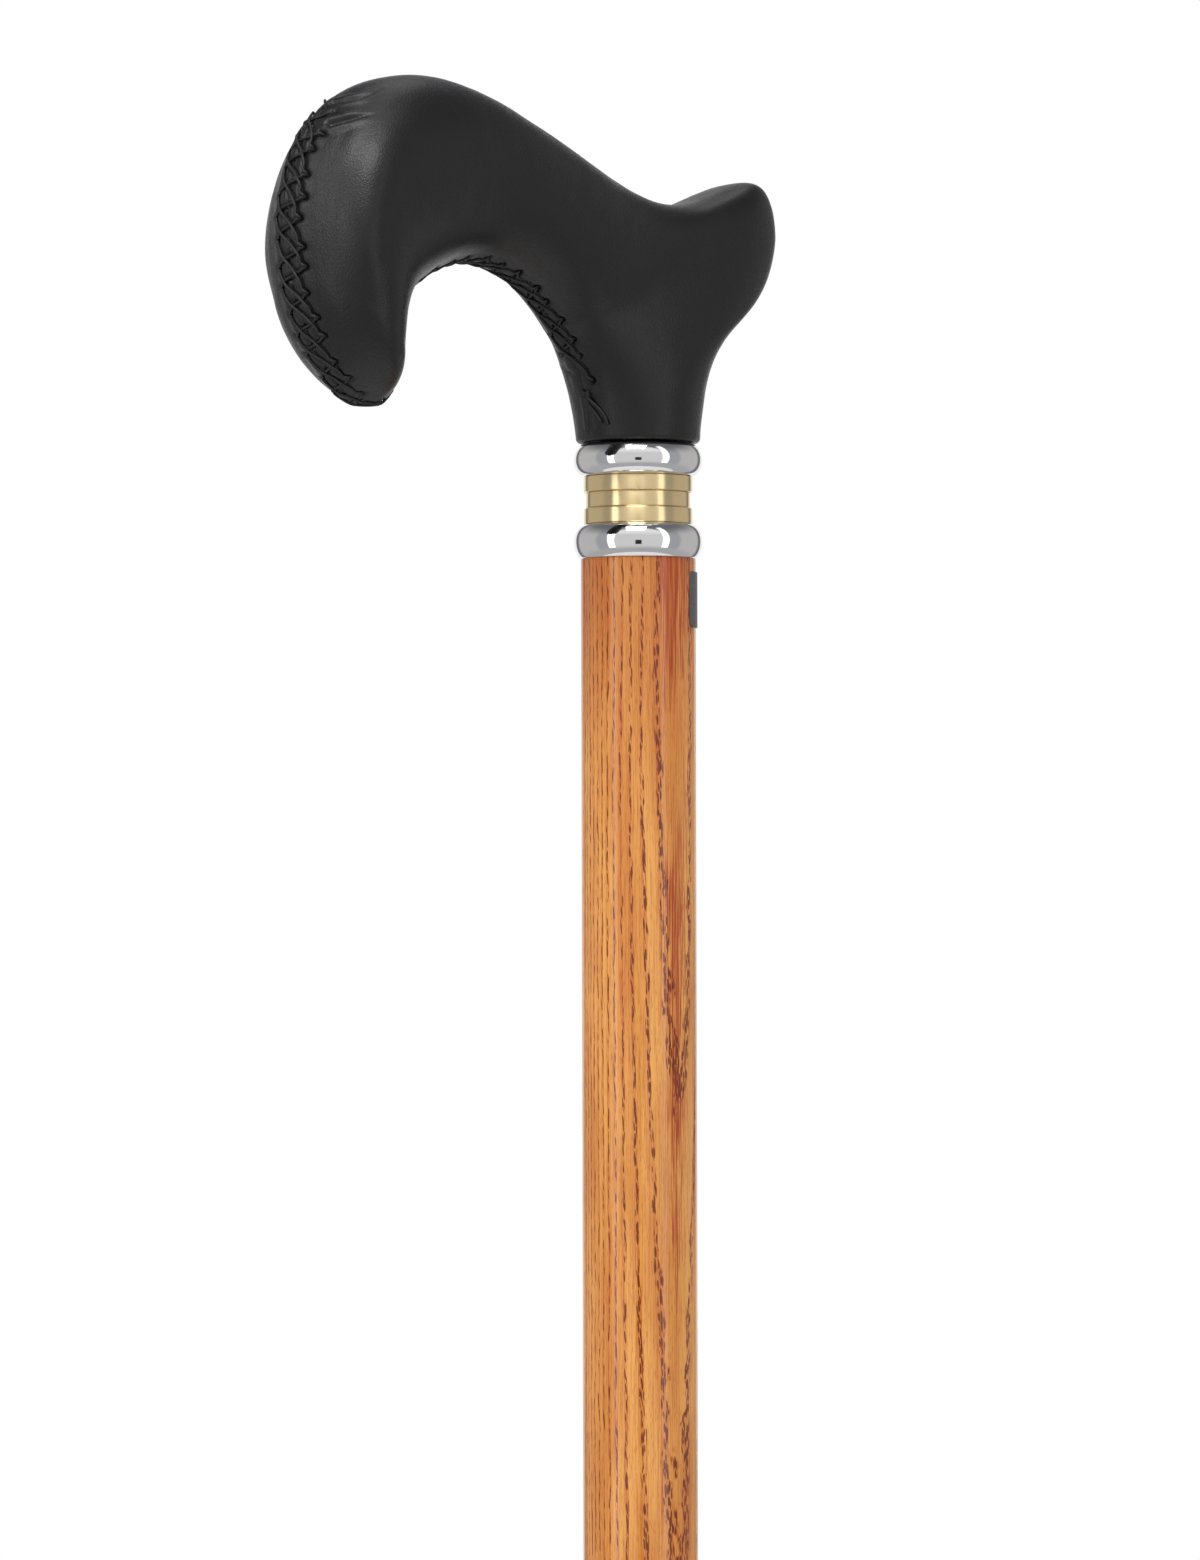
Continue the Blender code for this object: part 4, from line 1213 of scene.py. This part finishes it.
def add_camera(settings):
    forward, right = camera_axes(settings)
    frame_height = 1560
    sensor = 36.0
    data = bpy.data.cameras.new("photo_camera")
    data.sensor_width = sensor
    data.lens = settings.focal_pixels * sensor / frame_height
    data.clip_start = 0.01
    made = placed("photo_camera", data)
    place = -forward * settings.camera_distance - right * settings.camera_aside
    place.z = HANDLE_BASE - settings.camera_drop
    turn = (Matrix.Rotation(-math.radians(settings.view_azimuth), 4, "Z")
            @ Matrix.Rotation(math.pi / 2, 4, "X")
            @ Matrix.Rotation(-math.radians(settings.camera_roll), 4, "Z"))
    made.matrix_world = Matrix.Translation(place) @ turn
    bpy.context.scene.camera = made


def add_lamp(name, place, target, upright, width, height, brightness):
    """A flat lamp that faces a target, its height along upright. It shows as bright as brightness, where 1
    is white."""
    data = bpy.data.lights.new(name, "AREA")
    data.shape = "RECTANGLE"
    data.size = width
    data.size_y = height
    data.energy = brightness * math.pi * width * height
    made = placed(name, data)
    back = (Vector(place) - Vector(target)).normalized()
    across = Vector(upright).cross(back).normalized()
    turn = Matrix((across, back.cross(across), back)).transposed()
    made.matrix_world = Matrix.Translation(place) @ turn.to_4x4()


def add_lamps(settings):
    """Tall strip lights at both sides of the camera and a soft box overhead. The left strip is brighter
    above the handle than beside it."""
    forward, right = camera_axes(settings)
    turn = math.radians(STRIP_DIRECTION)
    for name, side, low, high, setting in STRIPS:
        place = (-forward * math.cos(turn) + right * side * math.sin(turn)) * STRIP_DISTANCE
        place.z = (low + high) / 2
        brightness = getattr(settings, setting)
        add_lamp(name, place, (0, 0, place.z), (0, 0, 1), STRIP_WIDTH, high - low, brightness)
    (ahead, aside, up), width, height = OVERHEAD_BOX
    above = forward * ahead + right * aside
    above.z = HANDLE_BASE + up
    under = Vector((above.x, above.y, 0))
    add_lamp("overhead_box", above, under, forward, width, height, settings.top_light)
    (ahead, aside, up), width, height = FRONT_BOX
    handle = Vector((0, 0, HANDLE_BASE))
    over_camera = handle + forward * ahead + right * aside + Vector((0, 0, up))
    add_lamp("front_box", over_camera, handle, (0, 0, 1), width, height, settings.front_light)


def add_world(settings):
    """White for the camera. Reflections show that white behind the cane, and a grey room round the rest of
    it: a pale front with the dark camera in its middle, dim corners, cards at the sides and a dark
    ceiling."""
    world = bpy.data.worlds.new("studio")
    bpy.context.scene.world = world
    world.use_nodes = True
    graph = Graph(world.node_tree)
    rays = graph.node("ShaderNodeLightPath")
    seen = rays.also("Is Camera Ray").largest(rays.also("Is Transmission Ray"))
    glossy = rays.also("Is Glossy Ray")
    forward, right = camera_axes(settings)
    ray = graph.node("ShaderNodeTexCoord", output="Generated")
    facing, sideways, up = (graph.vector_math("DOT_PRODUCT", ray, tuple(way)).also("Value")
                            for way in (-forward, right, Vector((0, 0, 1))))
    front = facing.ramp(0.50, 0.66)
    spot = (1 - sideways.absolute().ramp(0.085, 0.11)) * (1 - (up + 0.17).absolute().ramp(0.11, 0.15))
    reflected = ROOM_CARDS
    for share, colour in (
            (facing.ramp(0.06, 0.22), ROOM_CORNERS),
            (front, ROOM_FRONT),
            (up.ramp(0.25, 0.80) * (1 - front), ROOM_CEILING),
            (up.ramp(0.28, 0.60) * front, ROOM_BRIGHT),
            (1 - up.ramp(-0.62, -0.34), ROOM_LOW),
            (1 - facing.ramp(-0.78, -0.64), ROOM_GAP),
            (1 - facing.ramp(-0.87, -0.83), ROOM_WHITE),
            (spot * front, ROOM_CAMERA)):
        reflected = graph.mixed(share, reflected, colour)
    light = graph.mixed(glossy, [settings.fill_light] * 3, reflected)
    shown = graph.mixed(seen, light, ROOM_WHITE)
    background = graph.node("ShaderNodeBackground", {"Color": shown})
    graph.node("ShaderNodeOutputWorld", {"Surface": background})


def add_floor():
    """A pale round floor that fades to white at its rim and keeps the cane's shadow in its middle. It lies
    a little under the ferrule's sole, so that the two don't share a plane."""
    radius = 0.62
    depth = 0.0002
    graph, where = finish_graph("pale_floor")
    x, y, _ = graph.parts(where)
    away = (x * x + y * y) ** 0.5
    rim = away.ramp(0.45 * radius, 0.98 * radius)
    camera_ray = graph.node("ShaderNodeLightPath", output="Is Camera Ray")
    plain = graph.node("ShaderNodeBsdfDiffuse", {"Color": (0.86, 0.86, 0.86)})
    white = graph.node("ShaderNodeEmission", {"Color": ROOM_WHITE, "Strength": 1.0})
    shader = graph.node("ShaderNodeMixShader", {0: rim * camera_ray, 1: plain, 2: white})
    graph.node("ShaderNodeOutputMaterial", {"Surface": shader})
    bm = bmesh.new()
    bmesh.ops.create_circle(bm, cap_ends=True, radius=radius, segments=96)
    bmesh.ops.translate(bm, verts=bm.verts, vec=(0, 0, -depth))
    mesh = ended(bm, bpy.data.meshes.new("floor"))
    mesh.materials.append(graph.material)
    floor = placed("floor", mesh)


class CANE_OT_stage(bpy.types.Operator):
    """Add the camera, the studio's light and the floor"""
    bl_idname = "cane.stage"
    bl_label = "Stage"

    def execute(self, context):
        settings = context.scene.cane_stage
        add_camera(settings)
        add_lamps(settings)
        add_world(settings)
        add_floor()
        context.scene.view_settings.view_transform = "Standard"
        return {"FINISHED"}


class CANE_OT_leather_cover(bpy.types.Operator):
    """Add the leather over the handle, with its seam's relief"""
    bl_idname = "cane.leather_cover"
    bl_label = "Leather cover"

    def execute(self, context):
        settings = context.scene.cane_handle
        stations = ring_stations(station_at_height(LEATHER_EDGE_ROLL))
        rings = skin_rings(stations[:-1])
        normals = grid_normals(rings)
        relief = leather_relief(rings.reshape(-1, 3), settings).reshape(rings.shape[:2])
        relief *= smooth_step(np.arange(len(rings)), 0, RELIEF_START_RINGS)[:, None]
        outside = rings + normals * relief[:, :, None]
        foot = []
        level_ring = rings[0] * np.array((1, 1, 0))
        level_radius = np.linalg.norm(level_ring, axis=1)[:, None]
        for k in range(FOOT_ROLL_STEPS + 1):
            turn = k / FOOT_ROLL_STEPS * math.pi / 2
            shrink = 1 - LEATHER_EDGE_ROLL * (1 - math.sin(turn)) / level_radius
            rise = HANDLE_BASE + LEATHER_EDGE_ROLL * (1 - math.cos(turn))
            foot.append(level_ring * shrink + np.array((0, 0, rise)))
        lining_foot = station_at_height(LINING_START * LEATHER_THICKNESS)
        lining_stations = np.linspace(lining_foot, TIP_STATION, LINING_RINGS)[:-1]
        lining = skin_rings(lining_stations, LEATHER_THICKNESS)[::-1]
        mouth_turn = level_ring / level_radius * LEATHER_MOUTH_RADIUS
        mouth = [mouth_turn + np.array((0, 0, HANDLE_BASE + LEATHER_THICKNESS)),
                 mouth_turn + np.array((0, 0, HANDLE_BASE))]
        every = np.concatenate([lining, np.array(mouth), np.array(foot), outside[1:]])
        mesh = skin_mesh("leather_cover_skin", every, tip_point(LEATHER_THICKNESS), tip_point())
        new_piece("leather_skin", mesh, leather_finish(settings), MAIN_BODY, "leather", "leather_cover")
        return {"FINISHED"}


class CANE_OT_seam_stitches(bpy.types.Operator):
    """Add the seam's cross stitches, its knot and its loose ends"""
    bl_idname = "cane.seam_stitches"
    bl_label = "Seam stitches"

    def execute(self, context):
        settings = context.scene.cane_handle
        finish = thread_finish(settings)
        form = placed("smooth_form", form_mesh("smooth_form"))
        guide = bpy.data.meshes.new("seam_guide")
        guide.from_pydata(SEAM_POINTS.tolist(), [(i, i + 1) for i in range(len(SEAM_POINTS) - 1)], [])
        outward = guide.attributes.new("outward", "FLOAT_VECTOR", "POINT")
        outward.data.foreach_set("vector", SEAM_OUTWARD.ravel())
        sizes = {label: getattr(settings, name) for name, label in STITCH_SIZES.items()}
        strands = 2 * (stitch_count(settings) - LONG_REACH)
        stitches = grown_mesh("seam_stitches", guide, stitch_tree(), {
            "Form": form, "Strands": strands, "Material": finish, **sizes})
        bounds = BVHTree.FromObject(form, context.evaluated_depsgraph_get())
        ends = thread_ends(bounds, settings)
        bpy.data.objects.remove(form, do_unlink=True)
        mesh = joined("seam_stitches", [stitches, *ends])
        new_piece("seam_stitches", mesh, finish, MAIN_BODY, "thread", "seam_thread")
        return {"FINISHED"}


class CANE_OT_collar(bpy.types.Operator):
    """Add the two chrome beads and the three brass bands"""
    bl_idname = "cane.collar"
    bl_label = "Collar"

    def execute(self, context):
        settings = context.scene.cane_collar
        chrome = chrome_finish(settings)
        brass = brass_finish(settings)
        bead_steps = 28
        for node in ("lower_chrome_ring", "upper_chrome_ring"):
            low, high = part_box(node)
            bottom = low.z - SEAT_GAP / 2 - (SHOULDER_DROP if node == "lower_chrome_ring" else 0.0)
            half_height = (high.z + SEAT_GAP / 2 - bottom) / 2
            shoulder = high.x - settings.bead_bulge
            profile = [(settings.bore_radius, bottom)]
            lowest_turn = math.radians(60 if node == "lower_chrome_ring" else 90)
            for i in range(bead_steps + 1):
                turn = (lowest_turn + math.pi / 2) * i / bead_steps - lowest_turn
                rise = math.sin(turn) / (math.sin(lowest_turn) if turn < 0 else 1)
                profile.append((shoulder + settings.bead_bulge * math.cos(turn),
                                bottom + half_height * (1 + rise)))
            profile.append((settings.bore_radius, bottom + 2 * half_height))
            mesh = turned_mesh(node, profile, chrome, settings.sides, ring=True)
            new_piece(node.replace("_ring", "_bead"), mesh, chrome, MAIN_BODY, "chrome", node,
                      sharp_angle=50)
        bevel = settings.band_bevel
        for node in ("brass_ring_lower", "brass_ring_middle", "brass_ring_upper"):
            low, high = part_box(node)
            radius = high.x
            bottom = low.z - SEAT_GAP / 2
            top = high.z + SEAT_GAP / 2
            profile = [(settings.bore_radius, bottom), (radius - bevel, bottom),
                       *arc((radius - bevel, bottom + bevel), bevel, -90, 0, 4),
                       *arc((radius - bevel, top - bevel), bevel, 0, 90, 4), (settings.bore_radius, top)]
            mesh = turned_mesh(node, profile, brass, settings.sides, ring=True)
            new_piece(node.replace("_ring", "_band"), mesh, brass, MAIN_BODY, "brass", node, sharp_angle=50)
        return {"FINISHED"}


class CANE_OT_shaft(bpy.types.Operator):
    """Add the tapered ash shaft"""
    bl_idname = "cane.shaft"
    bl_label = "Shaft"

    def execute(self, context):
        settings = context.scene.cane_shaft
        finish = ash_finish(settings)
        shoulder = LOWER_BEAD_LOW.z - SEAT_GAP / 2 - SHOULDER_DROP
        taper_low = SHAFT_LOW.z + SHAFT_CHAMFER
        taper_top = shoulder - SHAFT_STRAIGHT_LENGTH
        rows = 60
        profile = [(0.0, SHAFT_LOW.z), (SHAFT_TIP_RADIUS - SHAFT_CHAMFER, SHAFT_LOW.z),
                   (SHAFT_TIP_RADIUS, taper_low)]
        for i in range(1, rows + 1):
            share = i / rows
            profile.append((SHAFT_TIP_RADIUS + (SHAFT_RADIUS - SHAFT_TIP_RADIUS) * share,
                            taper_low + (taper_top - taper_low) * share))
        profile += [
            (SHAFT_RADIUS, shoulder - SHAFT_EDGE),
            (SHAFT_RADIUS - SHAFT_EDGE, shoulder),
            (settings.tenon_radius, shoulder),
            (settings.tenon_radius, SHAFT_HIGH.z),
            (0.0, SHAFT_HIGH.z),
        ]
        mesh = turned_mesh("ash_shaft", profile, finish, settings.sides)
        new_piece("ash_shaft", mesh, finish, MAIN_BODY, "ash", "shaft", sharp_angle=40)
        return {"FINISHED"}


class CANE_OT_shaft_label(bpy.types.Operator):
    """Add the bare label bent round the back of the shaft"""
    bl_idname = "cane.shaft_label"
    bl_label = "Shaft label"

    def execute(self, context):
        settings = context.scene.cane_shaft
        columns = 72
        rows = 14
        outer = LABEL_HIGH.x - LABEL_LOWER
        inner = SHAFT_RADIUS - LABEL_SUNK
        half_width = math.asin(LABEL_HIGH.y / LABEL_HIGH.x) * outer + LABEL_LONGER
        half_height = (LABEL_HIGH.z - LABEL_LOW.z) / 2
        middle_z = (LABEL_HIGH.z + LABEL_LOW.z) / 2
        corner = settings.label_corner
        shares = [math.sin(math.pi * (i / columns - 0.5)) for i in range(columns + 1)]
        bm = bmesh.new()
        skins = []
        for radius in (outer, inner):
            grid = []
            for along_share in shares:
                along = half_width * along_share
                past = max(0.0, abs(along) - (half_width - corner))
                half = half_height - corner + math.sqrt(max(0.0, corner ** 2 - past ** 2))
                column = []
                for j in range(rows + 1):
                    up = half * math.sin(math.pi * (j / rows - 0.5))
                    reach = radius
                    if radius == outer:
                        flat = LABEL_EDGE - min(half - abs(up), half_width - abs(along), LABEL_EDGE)
                        reach -= LABEL_EDGE - math.sqrt(LABEL_EDGE ** 2 - flat ** 2)
                    turn = along / outer
                    place = (reach * math.cos(turn), reach * math.sin(turn), middle_z + up)
                    column.append(bm.verts.new(place))
                grid.append(column)
            skins.append(grid)
            for low, high in zip(grid, grid[1:]):
                for j in range(rows):
                    bm.faces.new((low[j], high[j], high[j + 1], low[j + 1]))
        loops = [[*(column[0] for column in grid), *grid[-1][1:], *(column[-1] for column in grid[-2::-1]),
                  *grid[0][-2:0:-1]] for grid in skins]
        for i in range(len(loops[0])):
            j = (i + 1) % len(loops[0])
            bm.faces.new((loops[0][i], loops[0][j], loops[1][j], loops[1][i]))
        mesh = ended(bm, bpy.data.meshes.new("bare_label"))
        new_piece("bare_label", mesh, label_finish(settings), MAIN_BODY, "label", "shaft_label",
                  sharp_angle=60)
        return {"FINISHED"}


class CANE_OT_ferrule(bpy.types.Operator):
    """Add the rubber ferrule: a ringed sole, a wide foot that flares out of the neck, and a beaded mouth"""
    bl_idname = "cane.ferrule"
    bl_label = "Ferrule"

    def execute(self, context):
        settings = context.scene.cane_ferrule
        foot = FERRULE_HIGH.x
        top = FERRULE_HIGH.z
        neck = foot - settings.foot_flare
        low_edge = 0.0012
        high_edge = 0.0008
        flare = settings.foot_flare - high_edge
        groove = 0.0007
        pad = 0.0048
        groove_count = 3
        land = (foot - low_edge - pad) / groove_count
        profile = [(0.0, 0.0)]
        for i in range(groove_count):
            start = pad + i * land
            profile += [(start, 0.0), *arc((start + groove, 0.0), groove, 180, 0)]
        profile += arc((foot - low_edge, low_edge), low_edge, -90, 0)
        profile += arc((foot - high_edge, settings.foot_height - high_edge), high_edge, 0, 90)
        flare_rise = FLARE_HEIGHT * settings.foot_flare
        flare_steps = 14
        for i in range(1, flare_steps + 1):
            share = i / flare_steps
            profile.append((neck + flare * (1 - math.sin(share * math.pi / 2)) ** FLARE_POWER,
                            settings.foot_height + flare_rise * share))
        for drop in BEAD_DROPS:
            profile += arc((neck - BEAD_SUNK, top - drop), settings.bead_proud + BEAD_SUNK, -90, 90)
        edge = MOUTH_OUTER_EDGE
        profile += arc((neck - edge, top - edge), edge, 0, 90)
        edge = MOUTH_INNER_EDGE
        profile += arc((settings.socket_radius + edge, top - edge), edge, 90, 180)
        profile += [(settings.socket_radius, settings.floor), (0.0, settings.floor)]
        finish = rubber_finish(settings)
        mesh = turned_mesh("rubber_ferrule", profile, finish, settings.sides)
        new_piece("rubber_ferrule", mesh, finish, FOOT_BODY, "rubber", "ferrule", sharp_angle=45)
        return {"FINISHED"}


class CANE_OT_inner_pieces(bpy.types.Operator):
    """Finish the handle's core, the dowel screw and the washer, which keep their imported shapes"""
    bl_idname = "cane.inner_pieces"
    bl_label = "Inner pieces"

    def execute(self, context):
        steel = steel_finish()
        finishes = {"handle_core": beech_finish(), "dowel_screw": steel, "ferrule_washer": steel}
        for node, finish in finishes.items():
            for material_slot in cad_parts[node].material_slots:
                material_slot.material = finish
        return {"FINISHED"}


OPERATORS = (
    CANE_OT_stage,
    CANE_OT_leather_cover,
    CANE_OT_seam_stitches,
    CANE_OT_collar,
    CANE_OT_shaft,
    CANE_OT_shaft_label,
    CANE_OT_ferrule,
    CANE_OT_inner_pieces,
)
SETTINGS = {
    "cane_handle": HandleSettings,
    "cane_collar": CollarSettings,
    "cane_shaft": ShaftSettings,
    "cane_ferrule": FerruleSettings,
    "cane_stage": StageSettings,
}


class CANE_PT_sidebar(bpy.types.Panel):
    """Lists the cane's pieces and their settings"""
    bl_idname = "CANE_PT_sidebar"
    bl_label = "Derby Cane"
    bl_space_type = "VIEW_3D"
    bl_region_type = "UI"
    bl_category = "Derby Cane"

    def draw(self, context):
        for operator in OPERATORS:
            self.layout.operator(operator.bl_idname)
        for group in SETTINGS:
            box = self.layout.box()
            settings = getattr(context.scene, group)
            for name in settings.bl_rna.properties.keys():
                if name not in ("rna_type", "name"):
                    box.prop(settings, name)


def register():
    for group in (*SETTINGS.values(), *OPERATORS, CANE_PT_sidebar):
        bpy.utils.register_class(group)
    for name, group in SETTINGS.items():
        setattr(bpy.types.Scene, name, PointerProperty(type=group))


def unregister():
    for name in SETTINGS:
        delattr(bpy.types.Scene, name)
    for group in (CANE_PT_sidebar, *reversed(OPERATORS), *SETTINGS.values()):
        bpy.utils.unregister_class(group)


def main():
    register()
    for operator in OPERATORS:
        group, name = operator.bl_idname.split(".")
        getattr(getattr(bpy.ops, group), name)()


if __name__ == "__main__":
    main()
